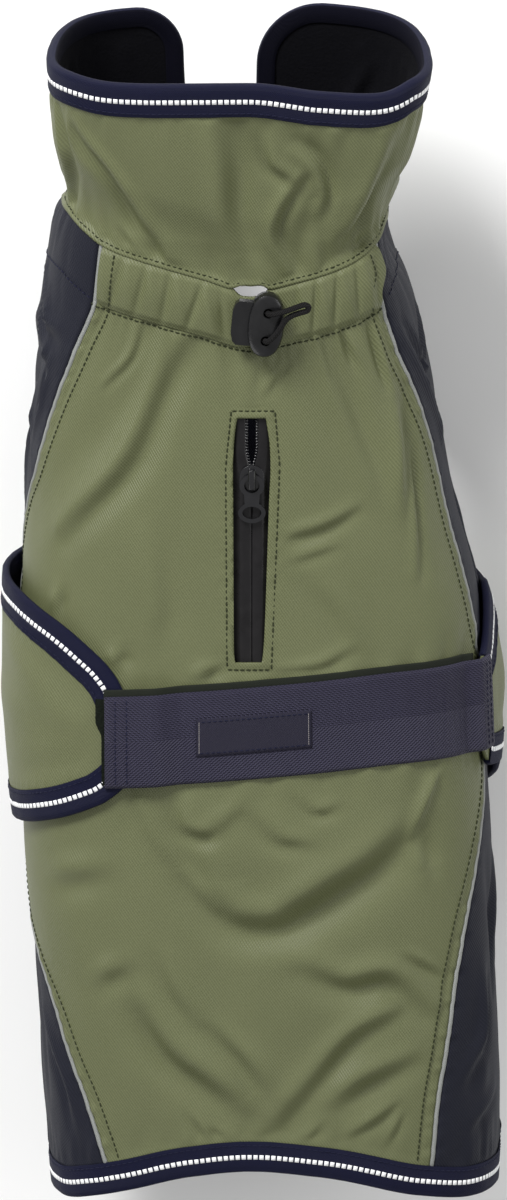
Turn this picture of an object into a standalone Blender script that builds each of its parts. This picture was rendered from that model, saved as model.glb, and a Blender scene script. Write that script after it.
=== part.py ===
"""A dog's rain jacket, filled out as if worn, with nobody inside it.

The frame: +Y runs along the back from the hem to the collar, +Z up out of the back, +X to the
right flank seen from above. The origin is on the inner face of the back panel, halfway along it,
where the jacket rests on the dog's back.

Every cloth piece is a wall on one of two skins: the body, given by cross sections along the back,
and the collar, given by rings up its height. A place on a skin is (station, angle): how far along
the back or up the collar, in millimetres, and how far round, in degrees, 0 on the back, 90 on the
right flank, -90 on the left and 180 under the belly.
"""

import math

import bmesh
import bpy
import numpy as np
from mathutils import Matrix, Vector

MM = 0.001  # the lengths below are in millimetres, and meshes are in metres

# Cloth and gaps
SHELL = 1.6  # outer cloth and lining together
CASING = 2.4  # the drawcord's channel: two layers and the cord between them
TAPE = 0.7  # binding tape
LINING = 1.1  # the collar's own fleece lining
GAP = 0.3  # between two pieces at a seam
EASE = 0.5  # between two pieces whose facets don't line up

# Widths and lengths that drive the cut
BINDING_OUTSIDE = 12.5  # how far a binding reaches over the outer cloth
BINDING_INSIDE = 6.5
PIPING_RADIUS = 1.1
NAPE_STATION = 194.5  # the neck seam on the back
CASING_WIDTH = 25.0
LEASH_SLOT = (5.2, 0.8, 5.4)  # how deep the casing dips there; the slot's middle and half width
SEAM_GAP = 0.6  # between the edges of two pieces sewn together
COLLAR_LEAN = 17.0  # how steeply the collar rises out of the back, in degrees
COLLAR_RISE = 32.0  # over this height the collar leaves the body's form for its own
COLLAR_FRONTS = (-162.5, 177.0)  # the collar's front edges
COLLAR_CORNER = (11.0, 17.0)  # the rounding of its front corners: degrees round, mm down
FULLNESS = 0.06  # how much squarer a section is than an ellipse

# The room inside the jacket. Left, right and flank are from the back's middle line to the widest
# place; belly is from there down to the lowest.
BODY_COLUMNS = ("station", "rise", "tilt", "left", "right", "flank", "belly")
BODY_SECTIONS = (
    (-215, -4.0, 0, 84.0, 106.5, 54, 44),
    (-160, -2.0, 0, 88.0, 107.5, 57, 50),
    (-110, -0.5, 0, 91.5, 106.0, 60, 56),
    (-50, 0.0, 0, 96.5, 103.0, 61, 62),
    (0, 0.0, 0, 97.5, 99.5, 61, 66),
    (50, 0.0, 2, 97.0, 97.0, 61, 68),
    (95, 0.5, 6, 94.5, 85.5, 60, 68),
    (135, 1.5, 11, 91.0, 77.0, 57, 66),
    (172, 3.0, 15, 87.0, 68.0, 53, 62),
    (215, 9.0, 17, 80.0, 58.0, 48, 57),
)
COLLAR_COLUMNS = ("height", "left", "right", "flank", "throat")
COLLAR_RINGS = (
    (0, 75.5, 55.5, 43, 55),
    (25, 75.5, 58.5, 41, 56),
    (60, 80.0, 68.5, 35, 62),
    (95, 82.0, 74.5, 31, 67),
)
COLLAR_TOP_COLUMNS = ("angle", "height")
COLLAR_TOP = (
    (-162, 86),
    (-120, 88),
    (-60, 90),
    (-35, 88.3),
    (0, 89.4),
    (19, 85.4),
    (40, 83.2),
    (60, 86.5),
    (120, 87),
    (177, 87.5),
)

# The neck seam, along the back from the nape
NECK_COLUMNS = ("angle", "rise")
NECK_SEAM = (
    (-165, -8),
    (-125, 6),
    (-90, 20),
    (-65, 24.5),
    (-50, 20.5),
    (-41, 16.4),
    (-24, 10.6),
    (-11, 5.2),
    (0, 0),
    (15, 3.7),
    (35, 9.4),
    (54, 15.5),
    (66, 19),
    (90, 17),
    (125, 6),
    (165, -8),
)

# Where the back panel meets the side panels, in degrees from the middle of the back
SEAM_COLUMNS = ("station", "left", "right")
SEAMS = (
    (-215, 33, 37.5),
    (-187, 37.5, 38.7),
    (-157, 44.5, 40.5),
    (-137, 51.5, 43.2),
    (-116, 59, 46.2),
    (-97, 71, 49.3),
    (-80, 84, 53),
    (-50, 92, 63),
    (-20, 93.5, 75),
    (5, 94, 80),
    (40, 92, 70.5),
    (64, 88, 66),
    (93, 76, 65.6),
    (106, 68.3, 65),
    (118, 63.3, 63.8),
    (141, 55, 58.6),
    (164, 47, 51.3),
    (187, 41, 48.5),
    (198, 41.2, 53),
    (215, 41.4, 51),
)

# The side panels' lower edge: along the throat, over the leg, then along the belly to the hem
EDGE_COLUMNS = ("station", "left", "right")
LOWER_EDGE = (
    (-215, 117, 117),
    (-150, 118, 118),
    (20, 118, 118),
    (45, 114, 116),
    (68, 107, 112),
    (90, 108, 113),
    (108, 121, 123),
    (124, 140, 140),
    (140, 155, 157),
    (155, 161, 165),
    (175, 163, 172),
    (215, 163.5, 177.5),
)

# The hem, round the body
HEM_COLUMNS = ("angle", "station")
HEM = (
    (-118, -150),
    (-108, -190),
    (-90, -203),
    (-60, -202.5),
    (-42, -198.6),
    (-30, -194.7),
    (-13, -187.8),
    (0, -185.4),
    (13, -188.2),
    (35, -197.8),
    (55, -201.3),
    (75, -201.5),
    (90, -199),
    (108, -182),
    (118, -144),
)

# The belly panel wraps from its end under the belt on the left, under the belly, to its other end
# under the belt on the right. Turn is how far round it has gone that way; the lifts are how far it
# stands off the room inside, at its front edge, along its middle and at its rear edge.
BELLY_COLUMNS = ("turn", "front", "rear", "front_lift", "middle_lift", "rear_lift")
BELLY_PANEL = (
    (21, 14, -12, 3.4, 3.4, 3.4),
    (26, 19, -16, 3.4, 3.4, 3.4),
    (29, 28, -20.5, 3.4, 3.4, 3.4),
    (33, 35.5, -25, 3.4, 3.4, 3.4),
    (48, 51, -33, 5.0, 4.8, 3.5),
    (68, 60, -38, 7.0, 7.2, 3.9),
    (90, 62, -40, 7.5, 7.6, 4.2),
    (118, 63, -40, 5.6, 5.6, 5.0),
    (132, 74, -40, 5.0, 5.0, 5.0),
    (143, 98, -39, 5.0, 5.0, 5.0),
    (151, 124, -39, 5.0, 5.0, 5.0),
    (158, 137, -38, 5.0, 5.0, 5.0),
    (168, 141, -38, 5.0, 5.0, 5.0),
    (180, 142, -38, 5.0, 5.0, 5.0),
    (192, 141, -38, 5.0, 5.0, 5.0),
    (202, 137, -38, 5.0, 5.0, 5.0),
    (209, 124, -38, 5.0, 5.0, 5.0),
    (217, 96, -38, 5.0, 5.0, 5.0),
    (228, 68, -37, 5.0, 5.0, 5.0),
    (242, 55, -35, 5.0, 5.4, 5.0),
    (256, 53, -28, 4.4, 7.6, 5.6),
    (268, 55, -18, 3.9, 9.0, 6.0),
    (280, 45, -16.5, 3.9, 6.5, 5.4),
    (289, 33, -15, 3.9, 4.4, 4.0),
    (296, 27, -6, 3.9, 3.9, 3.9),
)

BELLY_BOUND = (26.0, 291.0)  # the ends under the belt aren't bound

# The belt over the back, from its left end to its right
BELT_COLUMNS = ("angle", "middle")
BELT = (
    (-31, 1.0),
    (-11, 3.4),
    (10, 7.1),
    (33, 10.9),
    (70, 12.4),
)
BELT_WIDTH = 39.3
BELT_THICKNESS = 1.6
BELT_STEP = 8.0  # degrees over which the belt comes down beside each end of the belly panel
HOOK_THICKNESS = 0.8
HOOK_ANGLES = (-33.4, -29.8)  # the hook strip shows beside the belt's left end
HOOK_STATIONS = (-3.5, 9.5)
LABEL_SIZE = (49.0, 16.0)
LABEL_ANGLE = 0.7  # the label's middle
LABEL_THICKNESS = 0.6

# The largest folds in the cloth: a line from one place to another, how wide the fold is, and how
# far it stands out (negative sinks in)
FOLD_COLUMNS = ("angle_0", "station_0", "angle_1", "station_1", "width", "height")
BODY_FOLDS = (
    (-19, 158, -62, 92, 11, -3.0),
    (-8, 150, -30, 60, 17, 1.6),
    (22, 152, 28, 100, 12, -2.2),
    (36, 146, 44, 70, 12, 1.5),
    (-22, -36, -2, -72, 10, -3.2),
    (-2, -72, 13, -73, 11, -3.6),
    (13, -73, 37, -42, 11, -3.4),
    (8, -48, 24, -36, 13, 2.2),
    (16, -98, 48, -108, 10, -2.4),
    (-28, -116, -14, -140, 12, -3.0),
    (22, -140, 32, -125, 9, -2.0),
    (-44, -62, -38, -130, 14, 1.6),
    (1, -100, 2, -150, 13, 2.0),
    (-104, -70, -98, -120, 12, -2.0),
    (96, -60, 88, -140, 12, -2.2),
    (-76, 160, -84, 120, 9, -2.0),
    (78, 158, 84, 110, 9, -2.0),
)
COLLAR_FOLDS = (
    (0, 78, 4, 30, 8, -2.2),
    (12, 70, 22, 46, 8, -2.6),
    (22, 46, 19, 22, 7, -2.2),
    (-52, 72, -28, 30, 9, -2.4),
    (-20, 74, -16, 24, 12, 1.6),
    (34, 72, 36, 26, 11, 1.8),
    (62, 68, 54, 36, 9, -1.8),
)
FOLD_DEGREE = 1.7  # mm round for a degree, when a fold is measured
FOLD_MARGIN = 16.0  # folds die away this far from a belt, a zip or a bound edge

# Mesh density of the cloth
LEG_ROWS = (0.05, 0.27, 11)  # where the legs are along the panels, and how many rows there
REAR_ROWS = 15
BACK_COLUMNS = 14
SIDE_COLUMNS = 6
CASING_COLUMNS = 28
COLLAR_STEPS = 32
COLLAR_ROW_SHARES = (0, 0.08, 0.18, 0.29, 0.4, 0.54, 0.7, 0.86, 1.0)
BELLY_ROW_SHARES = (0, 0.12, 0.3, 0.5, 0.7, 0.88, 1.0)
BELLY_STEPS = 48

# The zip pocket on the back
ZIP_X = 0.8
ZIP_STATIONS = (37.0, 139.0)
ZIP_WIDTH = 15.0
ZIP_WINDOW_DEPTH = 12.0  # the cutter goes this far out and in
ZIP_TAPE_WIDTH = 12.5  # one side, from the middle to under the cloth
ZIP_TAPE_THICKNESS = 0.9
SLIDER_STATION = 113.0
ZIP_PARTING = 2.6  # how far each tape stands aside at the open top
SLIDER_SIZE = (10.6, 13.0, 2.0)
SLIDER_SIDES = 20
SLIDER_LIFT = 0.2  # it rides this far above the cloth's inner face
BRIDGE_WIDTH = 3.0
BRIDGE_FEET = (-3.4, 5.2)  # along the slider, outside of both feet
BRIDGE_FOOT = 1.2
TUNNEL_HEIGHT = 2.9
BRIDGE_BEAM = 0.9
PIVOT_ALONG = 2.3  # of the pull tab, along the slider
TAB_THICKNESS = 1.3
TAB_EYE = (4.0, 5.2, 4.9, 3.2, 3.1)  # distance from the pivot, then both half sizes and the hole's
TAB_RING = (15.6, 5.8, 4.4, 4.0, 2.7)
TAB_NECK = 3.0  # half width
TAB_DROOP = 3.0  # the tab rests on the slider's lower end, in degrees

# The cord lock
LOCK_PLACE = (6.5, 181.0)  # across and along
LOCK_TURN = -5.5
LOCK_SIZE = (15.2, 27.0, 9.0)
LOCK_HOLES = ((0.5, 5.6), (0.5, -6.2))
LOCK_HOLE_RADIUS = 2.1
PLUNGER_SIZE = (17.0, 18.6, 5.0)
PLUNGER_OUT = -14.2  # its outer end, across from the lock's middle
PLUNGER_TRAVEL = 3.0
CORD_RADIUS = 1.2
CORD_LOOP = (  # across, along and above the lock's face
    (0.5, 5.6, -8.6),
    (0.5, 5.6, -3.0),
    (0.5, 5.6, 0.4),
    (1.5, 5.9, 2.2),
    (4.2, 6.5, 3.0),
    (9.0, 7.6, 3.1),
    (14.0, 8.9, 2.9),
    (16.6, 9.3, 2.6),
    (18.2, 8.2, 2.3),
    (17.7, 6.4, 2.2),
    (15.0, 5.6, 2.2),
    (11.2, 4.6, 2.3),
    (8.2, 3.0, 2.4),
    (6.2, 0.2, 2.4),
    (4.0, -3.0, 2.4),
    (1.6, -5.6, 2.0),
    (0.5, -6.2, 0.4),
    (0.5, -6.2, -3.0),
    (0.5, -6.2, -8.6),
)

COLOURS = {
    "shell_green": ((0.125, 0.150, 0.070), 0.55, 0.0),
    "shell_navy": ((0.016, 0.018, 0.034), 0.60, 0.0),
    "lining": ((0.004, 0.004, 0.008), 0.95, 0.0),
    "binding": ((0.014, 0.016, 0.060), 0.70, 0.0),
    "reflective": ((0.42, 0.43, 0.42), 0.35, 0.0),
    "belt": ((0.024, 0.024, 0.062), 0.75, 0.0),
    "hook": ((0.010, 0.012, 0.010), 0.95, 0.0),
    "label": ((0.030, 0.024, 0.045), 0.60, 0.0),
    "zip_tape": ((0.012, 0.011, 0.013), 0.32, 0.0),
    "zip_metal": ((0.010, 0.010, 0.011), 0.28, 0.3),
    "plastic": ((0.008, 0.008, 0.009), 0.35, 0.0),
    "cord": ((0.010, 0.009, 0.010), 0.85, 0.0),
}


# ---- Smooth lines through the tables ----


def through(table, column):
    """A smooth line through one column of a table against its first, with no overshoot."""
    at, values = table[:, 0], table[:, column]
    steps = np.diff(values) / np.diff(at)
    before, after = steps[:-1], steps[1:]
    same_way = before * after > 0
    total = np.where(same_way, before + after, 1.0)
    middle = np.where(same_way, 2 * before * after / total, 0.0)
    slopes = np.concatenate([steps[:1], middle, steps[-1:]])

    def line(x):
        x = np.clip(x, at[0], at[-1])
        i = np.clip(np.searchsorted(at, x) - 1, 0, len(at) - 2)
        span = at[i + 1] - at[i]
        t = (x - at[i]) / span
        bend = t * (1 - t) * span * ((1 - t) * slopes[i] - t * slopes[i + 1])
        mix = smooth_step(t)
        # the cubic with the given values and slopes at both ends of its span
        return (1 - mix) * values[i] + mix * values[i + 1] + bend

    return line


def smooth_step(x):
    x = np.clip(x, 0.0, 1.0)
    return x * x * (3 - 2 * x)


def lines(rows, columns):
    """A smooth line for each column of a table against its first."""
    table = np.array(rows, float)
    return {name: through(table, i) for i, name in enumerate(columns) if i > 0}


BODY = lines(BODY_SECTIONS, BODY_COLUMNS)
RINGS = lines(COLLAR_RINGS, COLLAR_COLUMNS)
TOP = lines(COLLAR_TOP, COLLAR_TOP_COLUMNS)
NECK = lines(NECK_SEAM, NECK_COLUMNS)
SEAM = lines(SEAMS, SEAM_COLUMNS)
EDGE = lines(LOWER_EDGE, EDGE_COLUMNS)
HEM_LINE = lines(HEM, HEM_COLUMNS)
BELLY = lines(BELLY_PANEL, BELLY_COLUMNS)
BELT_LINE = lines(BELT, BELT_COLUMNS)


# ---- The two skins ----


def ring_point(angle, left, right, upper, lower):
    """Across, and the drop below the ring's top, of a place on a ring."""
    turn = np.radians(angle)
    across = across_share(turn)
    high = (np.cos(turn) - FULLNESS * np.cos(3 * turn)) / (1 - FULLNESS)
    drop = np.where(high >= 0, upper * (1 - high), upper - lower * high)
    return np.where(across >= 0, right, left) * across, drop


def across_share(turn):
    """How far across a ring a place is, as a share of its half width."""
    return (np.sin(turn) + FULLNESS * np.sin(3 * turn)) / (1 - FULLNESS)


def placed(across, drop, top_y, top_z, tilt):
    """The points of a ring whose top is at (0, top_y, top_z) and which leans by tilt."""
    lean = np.radians(tilt)
    y = top_y + drop * np.sin(lean)
    z = top_z - drop * np.cos(lean)
    return np.stack(np.broadcast_arrays(across, y, z), axis=-1)


def body_shape(station, angle):
    sizes = [BODY[name](station) for name in ("left", "right", "flank", "belly")]
    across, drop = ring_point(angle, *sizes)
    return placed(across, drop, station, BODY["rise"](station), BODY["tilt"](station))


def collar_shape(height, angle):
    """The collar's room: the body's at the neck seam, and its own form above."""
    neck = body_shape(NAPE_STATION + height, angle)
    sizes = [RINGS[name](height) for name in ("left", "right", "flank", "throat")]
    across, drop = ring_point(angle, *sizes)
    lean = math.radians(COLLAR_LEAN)
    top_y = NAPE_STATION + height * math.cos(lean)
    top_z = BODY["rise"](NAPE_STATION) + height * math.sin(lean)
    own = placed(across, drop, top_y, top_z, COLLAR_LEAN)
    share = smooth_step((height - NECK["rise"](angle)) / COLLAR_RISE)[..., None]
    return neck + (own - neck) * share


def outward(shape, station, angle):
    """The skin's outward directions, from points a little way off each place."""
    step = 0.4
    along = shape(station + step, angle) - shape(station - step, angle)
    around = shape(station, angle + step) - shape(station, angle - step)
    normal = np.cross(around, along)
    return normal / np.linalg.norm(normal, axis=-1, keepdims=True)


def fold_height(station, angle, folds):
    """How far the folds push the cloth out at a place."""
    total = np.zeros(np.broadcast(station, angle).shape)
    for angle_0, station_0, angle_1, station_1, width, height in folds:
        run_x = (angle_1 - angle_0) * FOLD_DEGREE
        run_y = station_1 - station_0
        x = (angle - angle_0) * FOLD_DEGREE
        y = station - station_0
        along = np.clip((x * run_x + y * run_y) / (run_x**2 + run_y**2), 0.0, 1.0)
        off = np.hypot(x - along * run_x, y - along * run_y)
        fade = np.sin(math.pi * (0.15 + 0.7 * along))
        total += height * fade * np.exp(-((off / width) ** 2))
    return total


def body_folds(station, angle):
    """The body's folds, dying away at the belt, the zip, the casing, the hem and the legs."""
    belt = np.abs(station - BELT_LINE["middle"](angle)) - BELT_WIDTH / 2
    zip_side = (np.abs(angle) - 8.0) * FOLD_DEGREE
    zip_end = np.maximum(ZIP_STATIONS[0] - station, station - ZIP_STATIONS[1])
    casing = casing_station(angle) - station
    hem = station - hem_station(angle) - BINDING_OUTSIDE
    side = np.where(angle < 0, EDGE["left"](station), EDGE["right"](station))
    leg = (side - np.abs(angle)) * FOLD_DEGREE - BINDING_OUTSIDE
    nearest = np.minimum.reduce([belt, np.maximum(zip_side, zip_end), casing, hem, leg])
    return fold_height(station, angle, BODY_FOLDS) * smooth_step(nearest / FOLD_MARGIN)


def collar_folds(height, angle):
    top = TOP["height"](angle) - BINDING_OUTSIDE - height
    base = height - NECK["rise"](angle)
    nearest = np.minimum(top + 6.0, base)
    return fold_height(height, angle, COLLAR_FOLDS) * smooth_step(nearest / FOLD_MARGIN)


def skin(shape, folds=None):
    """A function of (station, angle, out) that gives points out mm outside a folded shape."""

    def folded(station, angle):
        if folds is None:
            return shape(station, angle)
        return shape(station, angle) + outward(shape, station, angle) * folds(station, angle)[..., None]

    def points(station, angle, out=0.0):
        station, angle, out = (np.asarray(v, float) for v in np.broadcast_arrays(station, angle, out))
        return folded(station, angle) + outward(folded, station, angle) * out[..., None]

    return points


body_cloth = skin(body_shape, body_folds)
plain_body = skin(body_shape)
collar_cloth = skin(collar_shape, collar_folds)


def belly_lift(station, angle):
    """How far the belly panel stands off the room inside."""
    turn = np.mod(-angle, 360.0)
    front, rear = BELLY["front"](turn), BELLY["rear"](turn)
    share = np.clip((front - station) / (front - rear), 0.0, 1.0)
    at_front = BELLY["front_lift"](turn) * (1 - share) * (1 - 2 * share)
    at_middle = BELLY["middle_lift"](turn) * 4 * share * (1 - share)
    at_rear = BELLY["rear_lift"](turn) * share * (2 * share - 1)
    return at_front + at_middle + at_rear


def belly_cloth(station, angle, out=0.0):
    return plain_body(station, angle, belly_lift(station, angle) + out)


# ---- The lines of the cut ----


def neck_station(angle):
    """The neck seam round the body."""
    return NAPE_STATION + NECK["rise"](angle)


def casing_station(angle):
    """The casing's lower edge."""
    return neck_station(angle) - CASING_WIDTH


def hem_station(angle):
    return HEM_LINE["station"](angle)


def seam_angle(side, station):
    return side * SEAM["left" if side < 0 else "right"](station)


def edge_angle(side, station):
    return side * EDGE["left" if side < 0 else "right"](station)


def mm_per_degree(station, angle):
    """How far a degree goes round the body at a place."""
    step = body_shape(station, angle + 0.5) - body_shape(station, angle - 0.5)
    return np.linalg.norm(step, axis=-1)


def beside_seam(side, station):
    """The edge of the cloth between the two seams, clear of the piping."""
    angle = seam_angle(side, station)
    return angle - side * (PIPING_RADIUS + GAP) / mm_per_degree(station, angle)


def beyond_seam(side, station):
    """The edge of a side panel's cloth, clear of the piping."""
    angle = seam_angle(side, station)
    return angle + side * (PIPING_RADIUS + GAP) / mm_per_degree(station, angle)


def panel_rows():
    """The rows of every panel, as row_station counts them: close by the legs and at the hem."""
    start, end, count = LEG_ROWS
    band = 0.036  # the hem's binding
    legs = np.linspace(start, end, count)
    rear = np.linspace(end, 1.0 - band, REAR_ROWS)
    return np.concatenate([[0.0], legs, rear[1:], [1 - band / 2, 1.0]])


SIDE_TOP_ROWS = (-1.0, -0.8, -0.4)


def row_station(angle, row):
    """Row -1 is at the neck seam, 0 at the casing's lower edge and 1 at the hem."""
    top = casing_station(angle) - SEAM_GAP
    return np.where(row < 0, top - row * CASING_WIDTH, top + row * (hem_station(angle) - top))


def panel_grid(rows, columns, angle_at):
    """Stations and angles of a panel's points. angle_at gives every column's angle from the
    stations of its points."""
    row = np.asarray(rows)[:, None]
    station = row_station(0.0, row) + np.zeros((len(rows), columns))
    for _ in range(40):  # each depends on the other, and they settle quickly
        angle = angle_at(station)
        station = (station + row_station(angle, row)) / 2
    return station, angle


def between_seams(columns):
    """The angles of columns between the two seams."""
    share = np.linspace(0.0, 1.0, columns)

    def angle_at(station):
        left, right = beside_seam(-1, station), beside_seam(1, station)
        return left + share * (right - left)

    return angle_at


def back_grid():
    columns = BACK_COLUMNS + 1
    return panel_grid(panel_rows(), columns, between_seams(columns))


def side_grid(side):
    """A side panel's places, from its lower edge to its seam, with two columns in the binding."""
    share = np.concatenate([[0, 0], np.linspace(0, 1, SIDE_COLUMNS)])
    near = np.minimum(np.arange(SIDE_COLUMNS + 2) / 2, 1.0)

    def angle_at(station):
        edge, seam = edge_angle(side, station), beyond_seam(side, station)
        band = side * BINDING_OUTSIDE / mm_per_degree(station, edge)
        return edge - near * band + share * (seam - edge + band)

    rows = np.concatenate([SIDE_TOP_ROWS, panel_rows()])
    return panel_grid(rows, SIDE_COLUMNS + 2, angle_at)


# ---- Making meshes ----


def material(name):
    found = bpy.data.materials.get(name)
    if found:
        return found
    colour, roughness, metallic = COLOURS[name]
    made = bpy.data.materials.new(name)
    made.use_nodes = True
    made.diffuse_color = (*colour, 1.0)
    shader = made.node_tree.nodes["Principled BSDF"]
    shader.inputs["Base Color"].default_value = (*colour, 1.0)
    shader.inputs["Roughness"].default_value = roughness
    shader.inputs["Metallic"].default_value = metallic
    return made


def add_object(name, points, faces, finish, sharp_angle=35.0):
    """A named closed mesh from points in millimetres."""
    mesh = bpy.data.meshes.new(name)
    mesh.from_pydata([tuple(float(c) * MM for c in p) for p in points], [], faces)
    tidy = bmesh.new()
    tidy.from_mesh(mesh)
    bmesh.ops.recalc_face_normals(tidy, faces=tidy.faces)
    bmesh.ops.triangulate(tidy, faces=tidy.faces, quad_method="SHORT_EDGE")
    if tidy.calc_volume(signed=True) < 0:
        bmesh.ops.reverse_faces(tidy, faces=tidy.faces)
    tidy.to_mesh(mesh)
    tidy.free()
    mesh.shade_smooth()
    mesh.set_sharp_from_angle(angle=math.radians(sharp_angle))
    mesh.materials.append(material(finish))
    made = bpy.data.objects.new(name, mesh)
    bpy.context.scene.collection.objects.link(made)
    return made


def wall(name, outer, inner, finish):
    """A cloth wall between two grids of points, closed round its edges."""
    rows, columns = outer.shape[:2]
    points = np.concatenate([outer.reshape(-1, 3), inner.reshape(-1, 3)])
    behind = rows * columns
    faces = []
    for r in range(rows - 1):
        for c in range(columns - 1):
            a = r * columns + c
            corner = (a, a + 1, a + columns + 1, a + columns)
            faces.append(corner)
            faces.append(tuple(behind + i for i in reversed(corner)))
    rim = [(0, c) for c in range(columns)]
    rim += [(r, columns - 1) for r in range(1, rows)]
    rim += [(rows - 1, c) for c in range(columns - 2, -1, -1)]
    rim += [(r, 0) for r in range(rows - 2, 0, -1)]
    ring = [r * columns + c for r, c in rim]
    for i, here in enumerate(ring):
        there = ring[(i + 1) % len(ring)]
        faces.append((here, there, behind + there, behind + here))
    return add_object(name, points, faces, finish)


def cloth_wall(name, cloth, station, angle, low, high, finish):
    """A wall between two heights above a skin."""
    return wall(name, cloth(station, angle, high), cloth(station, angle, low), finish)


def sweep(name, sections, finish):
    """A solid from closed outlines, one after the other. An outline goes out and comes back, so
    the strip between its two halves is its cap."""
    count, size = len(sections), len(sections[0])
    points = np.concatenate(sections)
    faces = []
    for i in range(size // 2 - 1):
        strip = (i, i + 1, size - 2 - i, size - 1 - i)
        faces.append(strip)
        faces.append(tuple((count - 1) * size + k for k in reversed(strip)))
    for s in range(count - 1):
        near, far = s * size, (s + 1) * size
        for i in range(size):
            j = (i + 1) % size
            faces.append((near + i, near + j, far + j, far + i))
    return add_object(name, points, faces, finish)


def binding(name, cloth, station, angle, low, high):
    """Tape folded over a cloth edge, whose places run with the cloth on their left as seen with
    the station upwards and the angle to the right."""
    around = cloth(station, angle + 0.5, high) - cloth(station, angle - 0.5, high)
    degree = np.linalg.norm(around, axis=-1)
    run_station, run_angle = np.gradient(station), np.gradient(angle) * degree
    length = np.hypot(run_station, run_angle)
    into_station, into_angle = run_angle / length, -run_station / length / degree
    top, under = high + EASE, low - EASE
    profile = (
        (BINDING_OUTSIDE, top + TAPE),
        (BINDING_OUTSIDE / 2, top + TAPE),
        (-EASE - TAPE, top + TAPE / 2),
        (-EASE - TAPE, under - TAPE / 2),
        (BINDING_INSIDE, under - TAPE),
        (BINDING_INSIDE, under),
        (-EASE, under),
        (-EASE, top),
        (BINDING_OUTSIDE / 2, top),
        (BINDING_OUTSIDE, top),
    )
    rows = [
        cloth(station + inward * into_station, angle + inward * into_angle, out)
        for inward, out in profile
    ]
    return sweep(name, list(np.stack(rows, axis=1)), "binding")


def local_frame(origin, across, out):
    """A matrix, in metres, whose X runs along across and whose Z runs along out."""
    z = Vector(out).normalized()
    x = Vector(across)
    x = (x - z * x.dot(z)).normalized()
    frame = Matrix.Identity(4)
    for column, axis in enumerate((x, z.cross(x), z)):
        for row in range(3):
            frame[row][column] = axis[row]
    frame.translation = Vector([float(c) * MM for c in origin])
    return frame


def cut_with(target, cutter):
    """Takes the cutter out of a solid, as a Boolean modifier."""
    cutter.hide_render = True
    cutter.display_type = "WIRE"
    cut = target.modifiers.new(cutter.name, "BOOLEAN")
    cut.operation = "DIFFERENCE"
    cut.solver = "EXACT"
    cut.object = cutter


# ---- Cloth pieces ----


def make_back_panel():
    panel = cloth_wall("back_panel", body_cloth, *back_grid(), 0.0, SHELL, "shell_green")
    low, high = ZIP_STATIONS
    window = block(
        (ZIP_X - ZIP_WIDTH / 2, low, -ZIP_WINDOW_DEPTH), (ZIP_X + ZIP_WIDTH / 2, high, ZIP_WINDOW_DEPTH)
    )
    cut_with(panel, cutter_from("zip_window", window, Matrix.Identity(4)))
    return panel


def leash_slot(angle):
    """How far the casing's top edge dips at the nape, where a leash comes through."""
    depth, middle, half_width = LEASH_SLOT
    return depth * smooth_step(1.9 * (1 - np.abs(angle - middle) / half_width))


def make_casing():
    """The channel for the drawcord, along the back's part of the neckline, gathered by it."""
    rows, columns = np.array([*SIDE_TOP_ROWS, 0.0]), CASING_COLUMNS + 1
    station, angle = panel_grid(rows, columns, between_seams(columns))
    across = rows[:, None]
    station = station + SEAM_GAP * (1 + across) + leash_slot(angle) * across
    swell = 0.3 * (1 - (2 * across + 1) ** 2)
    beside_lock = smooth_step((np.abs(angle - 4.0) - 9.0) / 6.0)
    gathers = 0.7 * np.sin(np.radians(angle * 40.0)) * beside_lock
    outer = plain_body(station, angle, CASING + swell + gathers)
    return wall("neck_casing", outer, plain_body(station, angle, 0.0), "shell_green")


def make_side_panel(side, name):
    cloth_wall(name, body_cloth, *side_grid(side), 0.0, SHELL, "shell_navy")


def make_piping(side, name):
    """The reflective cord sewn into the seam between the back panel and a side panel."""
    rows = np.concatenate([SIDE_TOP_ROWS, panel_rows()[:-2]])
    station, angle = (g[:, 0] for g in panel_grid(rows, 1, lambda s: seam_angle(side, s)))
    station[-1] = hem_station(angle[-1]) + BINDING_OUTSIDE + EASE
    angle[-1] = seam_angle(side, station[-1])
    sections = []
    for turn in np.linspace(0, 2 * math.pi, 6, endpoint=False):
        beside = PIPING_RADIUS * math.cos(turn) / mm_per_degree(station, angle)
        out = SHELL * 0.6 + PIPING_RADIUS * math.sin(turn)
        sections.append(body_cloth(station, angle + beside, out))
    return sweep(name, list(np.stack(sections, axis=1)), "reflective")


def collar_edge(angle):
    """The height of the collar's top edge, with its rounded front corners."""
    degrees, fall = COLLAR_CORNER
    inside = np.minimum(angle - COLLAR_FRONTS[0], COLLAR_FRONTS[1] - angle) / degrees
    short = 1 - np.clip(inside, 0.0, 1.0)
    return TOP["height"](angle) - fall * (1 - np.sqrt(1 - short**2))


def collar_grid():
    """Heights and angles, rows from the base up, columns from the left front to the right."""
    corner = COLLAR_CORNER[0] * (1 - np.cos(np.radians([0, 30, 60])))
    left, right = COLLAR_FRONTS
    between = np.linspace(left + COLLAR_CORNER[0], right - COLLAR_CORNER[0], COLLAR_STEPS + 1)
    angles = np.concatenate([left + corner, between, (right - corner)[::-1]])
    up = np.array(COLLAR_ROW_SHARES)[:, None]
    base = NECK["rise"](angles) + SEAM_GAP
    height = base + up * (collar_edge(angles) - base)
    return height, np.broadcast_to(angles, height.shape)


def make_collar():
    height, angle = collar_grid()
    cloth_wall("collar", collar_cloth, height, angle, 0.0, SHELL, "shell_green")
    cloth_wall("collar_lining", collar_cloth, height, angle, -GAP - LINING, -GAP, "lining")
    # the tape starts above the neck seam, goes up the right front, over the top and down the left
    edge, around = (
        np.concatenate([g[4:-1, -1], g[-1, ::-1], g[-2:3:-1, 0]]) for g in (height, angle)
    )
    binding("collar_binding", collar_cloth, edge, around, -GAP - LINING, SHELL)


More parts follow.
